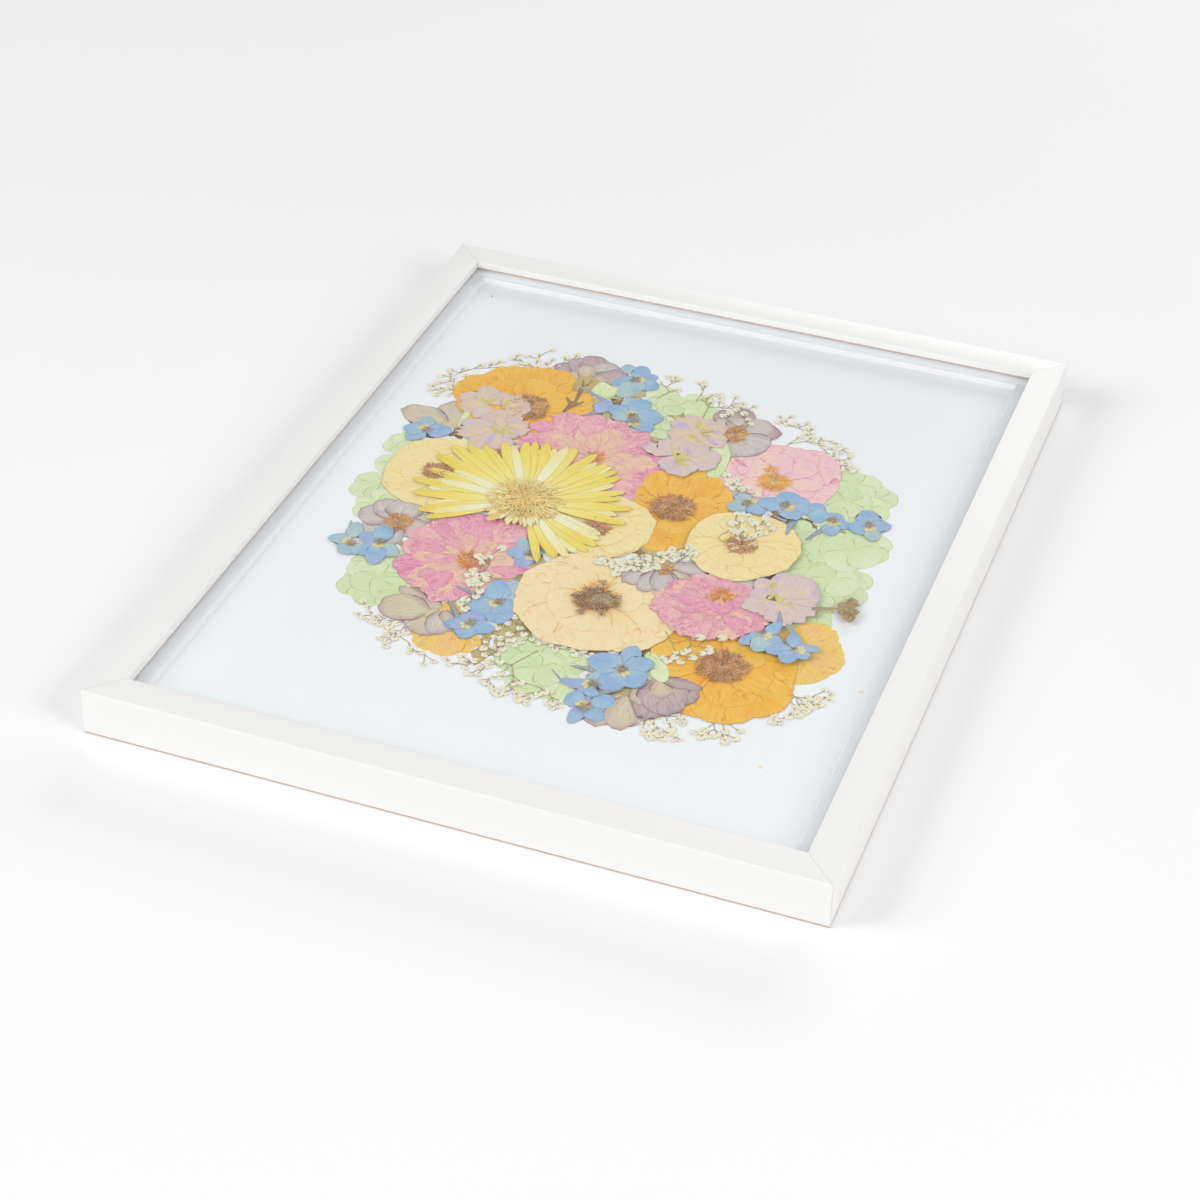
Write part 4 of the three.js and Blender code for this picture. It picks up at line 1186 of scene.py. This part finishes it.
delphinium_spurs = {
    1: "-32 -66 -47 -61 2.6, -35 -84 -45 -71 2.4",
    4: "-36 82 -45 75 2.4",
    5: "-101 -46 -104 -35 1.6",
    6: "66 33 66 19 3, 80 32 74 20 2.4, 64 29 54 33 2.4, 83 33 89 31 2",
    8: "28 -93 15 -93 2.6",
    9: "30 -106 39 -101 2.2, 14 -103 9 -98 0.9",
    10: "82 -38 80 -30 2.2, 89 -43 85 -37 2.2",
}


def add_sprig(number, *name):
    """One delphinium sprig from its rows."""
    tables = delphinium_rows, delphinium_eyes, delphinium_spurs
    rows = [rows_from(table[number]) if number in table else [] for table in tables]
    return add_delphinium(max(number, 1), *rows, *name)


add_sprig(0, "delphinium_floret")
add_sprig(1)


# Cream ranunculus: round, smooth cream petals with peach veins and a darker
# rim. The largest has a ragged star of dark stamens.
CREAM = dict(
    vein_width=0.1, vein_waver=1.0, fibre_share=0.2, blotch_scale=40, blotch_share=0.4, rim_width=0.35,
    rim_share=0.7, band_share=0.3, band_width=2.5, crease_share=0.5,
)
petal_cream = petal_finish(
    "petal_cream", "236 208 148, 238 218 161, 236 220 166", "238 212 154", "226 176 116", "208 174 120",
    vein_count=8, vein_share=0.2, blotch="234 216 168", crease="222 172 108", band="238 222 158", **CREAM,
)
petal_peach = petal_finish(
    "petal_peach", "238 188 120, 240 216 170, 240 220 178", "240 212 166", "232 180 122", "202 166 114",
    vein_count=12, vein_share=0.3, blotch="234 218 176", crease="228 170 112", **CREAM,
)
head_dark = stamen_finish("seed_head_dark", "106 84 70", "202 174 136")
cream_rows = {
    1: """10 29 36, 330 28 30, 60 30 30, 240 27 30, 285 27 28, 100 27 30, 140 27 28, 192 25 30,
    216 26 22, 165 24 24, 200 18 16""",
    2: """90 29 34, 50 31 30, 130 32.5 34, 10 31 30, 175 33 34, 330 38 34, 215 33 32, 250 34 32,
    292 34 34, 150 22 22, 30 19 20, 270 22 24, 212 20 20""",
    3: """180 20 28, 225 22 28, 130 24 26, 90 25 26, 270 21.5 30, 310 22.5 28, 45 25 26, 0 23 28,
    338 22 22, 25 16 16, 320 14 14""",
    4: """180 22 28, 135 24 24, 225 23 24, 90 22 26, 50 25 26, 20 25 26, 270 25 28, 310 24 24,
    345 24.5 26, 330 17 18, 250 16 16""",
}


def add_cream(number, x, y, finish, *head):
    """One cream ranunculus from its rows."""
    name = f"ranunculus_cream_{number}"
    return add_ranunculus(name, x, y, cream_rows[number], finish, 80 + number, "petal_cream", *head)


add_cream(1, -83, 11, petal_cream, (-86, 11, 4.4, 260))
second = add_cream(2, 9, -50, petal_peach)
halo = stamen_finish("seed_head_halo", "226 160 88", "238 196 130")
add_tuft(second, 9, -49, 8.6, 120, 3.4, 0.16, halo, 82)
add_tuft(second, 9, -50, (7.0, 6.4), 330, 2.6, 0.25, head_dark, 82)
add_tuft(second, 11, -49, 3.4, 120, 1.6, 0.2, stamen_grey, 85)
for x, y in ((8, -39), (1, -51), (3, -54), (6, -59), (18, -50), (17, -46), (14, -57)):
    add_tuft(second, x, y, 1.3, 16, 1.4, 0.2, head_dark, 86)
add_cream(3, -8, -3, petal_cream, (-8, -3, 4.4, 210))
add_tuft(add_mauve(8), 28, -20, (2.0, 3.4), 90, 2.0, 0.2, stamen_tan, 8)
folds = rows_from(
    """54 -36 36 -37 7 0, 54 -40 40 -43 6 0, 60 -42 70 -46 8 0, 44 -42 30 -44 9 2, 44 -46 36 -51 10 2,
    52 -46 47 -59 12 2, 56 -46 52 -60 9 2, 58 -32 49 -42 13 2, 48 -34 62 -38 9 0, 60 -24 52 -34 9 1"""
)
add_rose(4, 54, -37, 25, 22, (55, -29, 3.2, 70), 64, 0.06, folds)
add_cream(4, 51, 7, petal_cream, (51.5, 7, 5, 260))


# Lilac violas: wavy lilac and peach petals round a yellow-green throat, with
# streaks of violet.
LILAC = dict(
    vein_count=6, vein_width=0.14, vein_share=0.3, vein_waver=0.8, blotch_scale=90, rim_width=0.35,
    rim_share=0.45, band_share=0.5, band_width=2.0, crease_share=0.5,
)
petal_lilac = petal_finish(
    "petal_lilac", "219 203 172, 212 194 188, 204 187 197", "215 199 178", "186 162 178", "180 157 172",
    band="200 181 202", blotch="219 202 172", blotch_share=0.6, **LILAC,
)
petal_blush = petal_finish(
    "petal_blush", "222 205 148, 220 201 166, 213 191 181", "210 192 188", "194 166 150", "184 156 146",
    band="206 186 190", blotch="212 192 190", blotch_share=0.45, **LILAC,
)
petal_straw = petal_finish(
    "petal_straw", "190 184 92, 204 196 112, 212 204 140", "216 206 130", "160 150 80", "184 172 112",
    **LILAC,
)
streak_violet = petal_finish(
    "streak_violet", "206 188 208, 198 176 208, 208 190 208", "206 190 206", "176 146 200", "204 186 208",
    rim_width=0.9, band_width=1.5,
)
viola_rows = {
    1: """-86 68 -100 72 12, -86 68 -97 62 11, -86 68 -92 82 11, -86 67 -85 56 10 1, -85 69 -80 79 10 1,
    -77 67 -75 80 11, -77 67 -68 74 12, -77 66 -70 60 11, -77 66 -80 56 10, -86 69 -91 72 2 2,
    -86 69 -84 76 2 2, -78 68 -79 75 2 2""",
    2: """-73 50 -66 62 13, -73 50 -62 57 11, -73 50 -83 60 12, -73 50 -91 51 12 1, -73 49 -90 42 11,
    -73 48 -79 33 12, -73 48 -66 37 11, -72 50 -64 50 9 1, -73 48 -69 56 2 2, -73 48 -66 51 2 2,
    -74 48 -78 54 2 2, -74 47 -75 39 3 3""",
    3: """9 76 4 88 9 1, 8 77 15 68 8 1, 5 84 -6 86 11 1, 5 85 1 93 10 1, 6 84 12 92 10 1,
    9 85 19 87 11 1, 6 79 -4 75 11 1, 6 78 5 69 9 1, 8 79 22 77 11 1, 3 83 -5 83 5 3, 10 80 19 75 2 3,
    13 85 16 83 1.6 3, 6 84 6 90 2 2, 8 82 13 84 2.4 2, 5 78 9 75 2 2, 9 81 14 80 1.8 2""",
    4: """4 62 -11 62 10, 3 62 -4 71 11, 5 62 3 73 9 1, 8 62 24 61 16, 8 62 16 71 9, 6 60 12 46 15,
    6 60 1 49 8, 6 62 9 72 7 1, 6 68 10 63 3 3, 5 58 2 65 2 2, 5 57 9 64 3 2, 6 57 12 60 2 2,
    6 56 12 54 2.4 2, 5 58 5 52 2 3""",
    5: """72 -22 66 -12 9, 72 -23 65 -22 9, 73 -25 66 -34 11, 74 -25 76 -36 9 1, 78 -24 77 -38 10,
    79 -24 92 -31 18, 78 -25 84 -39 13, 77 -22 74 -5 12, 79 -22 90 -12 16, 78 -22 82 -4 18,
    71 -17 73 -12 2 2, 73 -25 74 -20 2 2, 75 -21 82 -26 4 2, 79 -26 82 -20 3 1""",
}
for number, rows in viola_rows.items():
    viola = Bloom(f"viola_{number}", 90 + number)
    shape = {"rounded": 0.42, "neck": 0.25, "fullest": 0.75, "ruffle": 0.085, "pinch": 0.05, "grid": (11, 8)}
    pair = (petal_blush, petal_lilac) if number < 3 else (petal_lilac, petal_blush)
    viola.petals(rows_from(rows), *pair, petal_straw, streak_violet, **shape)
    viola.finished()


# Upper delphinium sprigs and the brown bud: laid last but one, so that they lie
# over the roses, the ranunculus and the hydrangea round them.
for number in range(2, 11):
    add_sprig(number)

bark_brown = petal_finish(
    "bark_brown", "172 156 126, 160 148 124, 150 138 116", "176 160 132", "126 112 94", "122 108 92",
    vein_count=4, blotch="210 160 104", blotch_share=0.45, blotch_scale=420,
)
bud = Bloom("brown_bud", 95)
bud.petals([(91, -24, 104, -19, 2.0), (93, -22, 94, -28, 1.4)], bark_brown, **STALK)
bud_rows = rows_from(
    """100 -19 105 -15 3.6, 103 -17 108 -15 3.4, 102 -20 108 -20 4.2, 104 -22 108 -27 3.8,
    102 -21 104 -24 3, 105 -22 109 -24 3"""
)
bud.petals(bud_rows, bark_brown, ruffle=0.04, grid=(9, 7))
bud_piece = bud.finished()
bud_head = stamen_finish("bud_head", "124 116 98", "214 186 140")
for x, y in ((105, -16), (107, -20), (103, -20.5), (106.5, -24.5)):
    add_tuft(bud_piece, x, y, 1.7, 40, 1.0, 0.5, bud_head, 95, lean=1.2)


# Gerbera: the topmost flower. A ring of strap-shaped yellow rays, paler and
# streaked towards the base, some lost below; a fringe of short florets round
# a pale, stippled disc.
STRAP = dict(
    vein_count=3, vein_width=0.14, vein_waver=0.15, vein_share=0.45, fibre_count=8, fibre_run=0.6,
    fibre_share=0.6, rim_width=0.35, rim_share=0.7, crease_share=0.0,
)
ray_yellow = petal_finish(
    "ray_yellow", "236 227 180, 234 216 126, 228 202 82, 222 189 64",
    "228 208 106", "198 164 62", "172 134 58", blotch="237 222 146", blotch_share=0.3, blotch_scale=50,
    fibre="237 222 136", petal_share=0.3, **STRAP,
)
ray_cream = petal_finish(
    "ray_cream", "238 231 208, 238 228 186, 233 215 132, 227 203 96",
    "238 229 184", "210 188 122", "176 142 86", fibre="240 232 204", **STRAP,
)
ray_dry = petal_finish(
    "ray_dry", "196 152 96, 178 120 76, 170 108 78", "196 148 110", "146 92 62", "150 96 66", vein_count=3,
)
ray_floret = petal_finish(
    "ray_floret", "222 192 128, 232 208 142, 238 222 162", "226 196 130", "200 160 102", "196 162 106",
    vein_count=2, rim_share=0.8, rim_width=0.3,
)
DAISY = (-43, 4)
FULLER = 1.04
SHORT_RAYS = 72
RAY = dict(rounded=0.17, neck=0.45, fullest=0.6, pinch=0.22, ruffle=0.012, grid=(7, 12))
gerbera = Bloom("gerbera", 99, 0.008)
dry_rays = rows_from(
    """5 30 2.2, 20 34 2.4, 34 36 2, 65 38 2, 89 40 2.4, 118 40 2.4, 128 42 2, 164 42 3, 177 38 2.4,
    189 40 2, 204 36 2.4, 304 36 2.2, 329 36 2, 339 34 2"""
)
gerbera.fan(*DAISY, dry_rays, ray_dry, start=0.3, **RAY)
back_rays = rows_from(
    """7 40 5, 38 40 5, 57 45 5, 66 42 4.4, 88 45 5, 92 42 4.4, 118 43 4.6, 138 45 5.4, 164 38 5.4,
    177 40 5, 188 42 5, 203 41 5, 314 44.5 5, 320 43 4.6, 339 41 5, 345 38 4"""
)
front_rays = rows_from(
    """0 45 5.6, 13 45 6.2, 25 40 4.6, 30 43 5, 44 44.5 5.4, 51 45.5 4.6, 60.5 45 5.6, 71 46.5 5.6,
    81 46 6.2, 97.6 45.5 6, 105 45.5 5, 112 45.3 5.4, 123 45.5 6, 133 45.5 6.2, 141 49 5.4, 149 52.5 7,
    157 51 7, 171 47.5 5.6, 182 50 6, 195 47.5 6, 209 45 6.6, 219 43 5, 300 44 4, 309 43 6, 325 45 5.6,
    332 44 6"""
)
pale_rays = rows_from(
    """88.5 45 5.4, 177 39 5, 164 38 5.2, 345 40 4.2, 315 44 4.4, 338 42 4.4, 118 42 4, 214 41 4.4"""
)
rings = (back_rays, ray_cream, 0.26), (front_rays, ray_yellow, 0.24), (pale_rays, ray_cream, 0.24)
for rows, finish, start in rings:
    for way, reach, breadth in rows:
        bend = gerbera.random.uniform(-0.04, 0.04)
        gerbera.fan(*DAISY, [(way, reach, breadth * FULLER)], finish, start=start, bend=bend, **RAY)
for i in range(SHORT_RAYS):
    way = i * 360 / SHORT_RAYS + gerbera.random.uniform(-3, 3)
    open_side = 222 < way < 302
    finish = ray_floret if gerbera.random.random() < 0.6 else ray_cream
    reach = gerbera.random.uniform(17, 21.5) if open_side else gerbera.random.uniform(14, 19)
    gerbera.fan(*DAISY, [(way, reach, 2.4 if open_side else 1.5)], finish, start=0.45, grid=(5, 6), ruffle=0.05)
daisy_piece = gerbera.finished()
fringe = stamen_finish("disc_fringe", "231 206 130", "245 234 184")
disc_tan = stamen_finish("disc_tan", "200 160 98", "234 210 146")
disc_pale = stamen_finish("disc_pale", "216 188 122", "232 211 150")
add_tuft(daisy_piece, *DAISY, 13.2, 460, 2.8, 0.2, fringe, 1)
add_tuft(daisy_piece, *DAISY, 11.4, 900, 1.1, 0.19, disc_tan, 2)
add_tuft(daisy_piece, -44, 5, 7.8, 640, 0.4, 0.36, disc_pale, 3, lean=0.78)


# Baby's breath, upper sprays: whiter florets strewn over the finished bouquet,
# and the dust and pollen that fell on the board.
upper_sprays = {
    "breath_over_mauve": "20 88, 18 104, 16 100, 25 98, 22 102, 14 97, 27 95, 19 107",
    "breath_over_orange": """42 -60, 61 -64, 62 -67, 60 -69, 54 -68, 56 -60, 64 -57, 50 -71, 51 -74,
    57 -72, 49 -77, 54 -76, 47 -76, 53 -70""",
    "breath_over_cream": """41 8, 48 28, 50 25, 46 23, 55 27, 57 25, 60 22, 56 17, 55 20, 44 15, 47 14,
    49 17, 49 10, 52 12, 55 9, 47 6, 49 4, 52 23, 43 27, 44 20, 54 14, 58 18""",
    "breath_over_rose": "38 40, 30 53, 32 50, 35 51, 37 48, 36 45, 39 45, 46 44, 33 47, 41 47, 34 49",
    "breath_centre": """16 -13, 14 -16, 16 -18, 12 -19, 19 -17, 20 -21, 23 -19, 22 -23, 25 -17, 24 -21,
    17 -22, 14 -22, 11 -24, 9 -23, 8 -26, 11 -28, 13 -27, 11 -31, 14 -25, 3 -24, 5 -26, 1 -22, 2 -26,
    23 -11, 26 -9, 25 -13, 28 -8, 30 -11, 29 -14, 28 -12, 32 -3, 33 -5, 34 -9, 36 -8, 34 -12, 31 -8,
    22 -15, 18 -15, 20 -25, 26 -6, 7 -24, 17 -25""",
    "breath_left": """-24 -47, -39 -32, -41 -40, -43 -42, -42 -45, -42 -52, -44 -54, -38 -51, -36 -54,
    -42 -57, -40 -55, -36 -62, -39 -69, -40 -72, -37 -75, -38 -57, -43 -50, -45 -41, -37 -52, -41 -59,
    -36 -66""",
}
for seed, (name, spots) in enumerate(upper_sprays.items(), 121):
    add_spray(name, rows_from(spots), seed, 2.3, breath_white)
bpy.data.objects.remove(floret_shape)

specks = Bloom("dust_and_pollen", 131)
pollen = petal_finish(
    "pollen_yellow", "236 222 170, 232 214 150", "236 224 180", "226 204 140", "232 218 170",
)
for x, y, size, finish in ((102, -125, 0.9, pollen), (124, -68.5, 0.9, pollen), (-120, 156, 0.5, scrap_brown)):
    rows = [(way, size, size) for way in (40, 160, 280)]
    specks.fan(x, y, rows, finish, start=0, grid=(5, 4))
specks.finished()


# Window mat: a narrow border of blue-white mat board under the glass, cut with
# a bevel that shows its whiter core.
mat_finish, tree, surface = new_material("mat_blue_white")
tooth = noise(tree, 1600.0, 3.0)
facing = add_node(tree, "ShaderNodeSeparateXYZ", Vector=add_node(tree, "ShaderNodeNewGeometry").outputs["Normal"])
bevel = fade(tree, facing.outputs["Z"], 0.9, 0.99, 1.0, 0.0)
band = mixed_colour(tree, fade(tree, tooth, 0.3, 0.7, 0.0, 0.4), tone(247, 251, 255), tone(243, 248, 254))
surface.inputs["Sheen Weight"].default_value = 0.5
surface.inputs["Sheen Tint"].default_value = tone(236, 244, 255)
paper = mixed_colour(tree, bevel, band, tone(243, 242, 244))
dress(tree, surface, paper, fade(tree, tooth, 0.2, 0.8, 0.75, 0.9), tooth)
refinish("window_mat", mat_finish)


# Glass: one clear pane of picture glass, held against the lip of the moulding.
# Light on its way to and from the flowers goes straight through it.
glass_finish, tree, surface = new_material("picture_glass")
dress(tree, surface, (1, 1, 1, 1), 0.0)
surface.inputs["IOR"].default_value = 1.45
surface.inputs["Transmission Weight"].default_value = 1.0
clear = add_node(tree, "ShaderNodeBsdfTransparent")
ray = add_node(tree, "ShaderNodeLightPath").outputs
within = surface.outputs[0]
for kind in ("Is Diffuse Ray", "Is Shadow Ray"):
    through = add_node(tree, "ShaderNodeMixShader", Fac=ray[kind])
    tree.links.new(within, through.inputs[1])
    tree.links.new(clear.outputs[0], through.inputs[2])
    within = through.outputs[0]
tree.links.new(within, tree.nodes["Material Output"].inputs["Surface"])
refinish("glass", glass_finish)


# Moulding: four lengths of white satin-lacquered wood with softened edges,
# mitred and glued. A thin tan line of bare wood shows along the bottom edge
# and in the mitres.
lacquer, tree, surface = new_material("lacquer_white")
raw = add_node(tree, "ShaderNodeAttribute", {"attribute_name": "bare"}).outputs["Fac"]
peel = noise(tree, 900.0)
nib = noise(tree, 420.0, 1.0)
coat = mixed_colour(tree, noise(tree, 22.0, 3.0), tone(244, 243, 241), tone(241, 240, 238))
coat = mixed_colour(tree, fade(tree, nib, 0.8, 0.84, 0.0, 0.25), coat, tone(206, 196, 184))
ragged = calculate(tree, "MULTIPLY_ADD", calculate(tree, "SUBTRACT", nib, 0.5), 0.6, raw)
coat = mixed_colour(tree, fade(tree, ragged, 0.35, 0.75), coat, tone(200, 172, 154))
dress(tree, surface, coat, fade(tree, peel, 0.3, 0.7, 0.34, 0.44), peel, 0.05, 0.0002)

joint_tan, tree, surface = new_material("mitre_bare_wood")
dress(tree, surface, mixed_colour(tree, noise(tree, 700.0, 3.0), tone(206, 184, 166), tone(226, 208, 192)), 0.85)

FACE = 13.3
EASED = 0.5
MITRE = 0.06
frame_low, frame_high = (corner / MM for corner in cad_box)
lip_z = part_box("glass")[1].z / MM
REBATE = 6.5
wall = FACE - REBATE
ARC_STEPS = 5
STATIONS = 24


def moulding_section():
    """The section of a rail from its outer face inwards: (inwards, up, bare wood) in millimetres."""
    top = frame_high.z
    outline = [(EASED * 0.4, 0.0, 1), (wall, 0.0, 1), (wall, lip_z, 1), (FACE - 0.3, lip_z, 1)]
    outline += [(FACE - 0.3, lip_z + 0.4, 1), (FACE, lip_z + 0.6, 0)]
    corners = (((FACE, top), 0, 90, EASED * 0.7), ((0, top), 90, 180, EASED))
    for (x, z), start, stop, radius in corners:
        centre_x = x - radius if start == 0 else x + radius
        for step in range(ARC_STEPS + 1):
            angle = math.radians(start + (stop - start) * step / ARC_STEPS)
            outline.append((centre_x + radius * math.cos(angle), z - radius + radius * math.sin(angle), 0))
    outline += [(0.0, 0.8, 0), (0.0, 0.45, 1), (0.0, EASED * 0.4, 1)]
    return outline


def add_rail(node, span, out, quarter_turns):
    """One rail, with its outer face towards -Y before it is turned, mitred at both ends."""
    section = moulding_section()
    count = len(section)
    points = []
    for step in range(STATIONS + 1):
        share = step / STATIONS * 2 - 1
        for inwards, z, _ in section:
            half = span / 2 - inwards - MITRE
            points.append((share * half, inwards - out, z))
    faces = []
    for step in range(STATIONS):
        for i in range(count):
            near, far = step * count, (step + 1) * count
            after = (i + 1) % count
            faces.append((near + i, near + after, far + after, far + i))
    ends = [tuple(reversed(range(count))), tuple(STATIONS * count + i for i in range(count))]
    turned = Matrix.Rotation(quarter_turns * math.pi / 2, 4, "Z")
    mesh = bpy.data.meshes.new(node + "_lacquered")
    mesh.from_pydata([tuple(turned @ Vector(p) * MM) for p in points], [], faces + ends)
    bare = mesh.attributes.new("bare", "FLOAT", "POINT")
    bare.data.foreach_set("value", [float(raw) for _, _, raw in section] * (STATIONS + 1))
    mesh.materials.append(lacquer)
    mesh.materials.append(joint_tan)
    mesh.polygons.foreach_set("use_smooth", [True] * len(mesh.polygons))
    for face in mesh.polygons[-2:]:
        face.material_index = 1
    mesh.set_sharp_from_angle(angle=math.radians(35))
    made = new_object(node + "_lacquered", mesh)
    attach(made, "root")
    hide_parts(node)


width, length = frame_high.x - frame_low.x, frame_high.y - frame_low.y
add_rail("rail_bottom", width, length / 2, 0)
add_rail("rail_right", length, width / 2, 1)
add_rail("rail_top", width, length / 2, 2)
add_rail("rail_left", length, width / 2, 3)


# Back board: tempered hardboard, smooth and mottled brown, laid in last.
board_back, tree, surface = new_material("hardboard_brown")
place = add_node(tree, "ShaderNodeTexCoord").outputs["Object"]
chips = add_node(tree, "ShaderNodeTexVoronoi", Vector=place, Scale=380.0).outputs["Color"]
chip = add_node(tree, "ShaderNodeSeparateColor", Color=chips).outputs[0]
fibre = noise(tree, 700.0, 5.0, Roughness=0.7)
brown = mixed_colour(tree, chip, tone(122, 86, 56), tone(148, 108, 72))
brown = mixed_colour(tree, fade(tree, fibre, 0.35, 0.7, 0.0, 0.6), brown, tone(96, 66, 44))
dress(tree, surface, brown, fade(tree, fibre, 0.3, 0.7, 0.55, 0.8), fibre, 0.25, 0.0002)
refinish("back_board", board_back)


# Tabs, hanger and rivets: thin zinc-plated steel. The tabs are driven into the
# rabbet and bend over the back; the hanger's feet are riveted to it.
plated, tree, surface = new_material("zinc_plate")
place = add_node(tree, "ShaderNodeTexCoord").outputs["Object"]
spangle = add_node(tree, "ShaderNodeTexVoronoi", Vector=place, Scale=420.0).outputs["Distance"]
scuff = noise(tree, 900.0, 4.0)
zinc = mixed_colour(tree, spangle, tone(196, 200, 204), tone(170, 174, 178))
zinc = mixed_colour(tree, fade(tree, scuff, 0.5, 0.75, 0.0, 0.5), zinc, tone(140, 142, 144))
surface.inputs["Metallic"].default_value = 1.0
dress(tree, surface, zinc, fade(tree, scuff, 0.3, 0.7, 0.25, 0.45))


def soften_metal(node, radius):
    """A copy of a metal piece with its sheared edges rounded, in place of the plain one."""
    mesh = nodes[node].data.copy()
    bm = bmesh.new()
    bm.from_mesh(mesh)
    bmesh.ops.remove_doubles(bm, verts=bm.verts, dist=1e-6)
    bmesh.ops.dissolve_limit(bm, angle_limit=math.radians(1), verts=bm.verts, edges=bm.edges)
    bmesh.ops.recalc_face_normals(bm, faces=bm.faces)
    bm.to_mesh(mesh)
    bm.free()
    mesh.materials.clear()
    mesh.materials.append(plated)
    made = new_object(node + "_plated", mesh)
    edge = made.modifiers.new("sheared_edge", "BEVEL")
    edge.width = radius * MM
    edge.segments = 2
    edge.limit_method = "ANGLE"
    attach(made, "root")
    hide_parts(node)


for node in [f"tab_{number}" for number in range(1, 7)] + ["hanger"]:
    soften_metal(node, 0.12)
for node in ("rivet_left", "rivet_right"):
    refinish(node, plated)
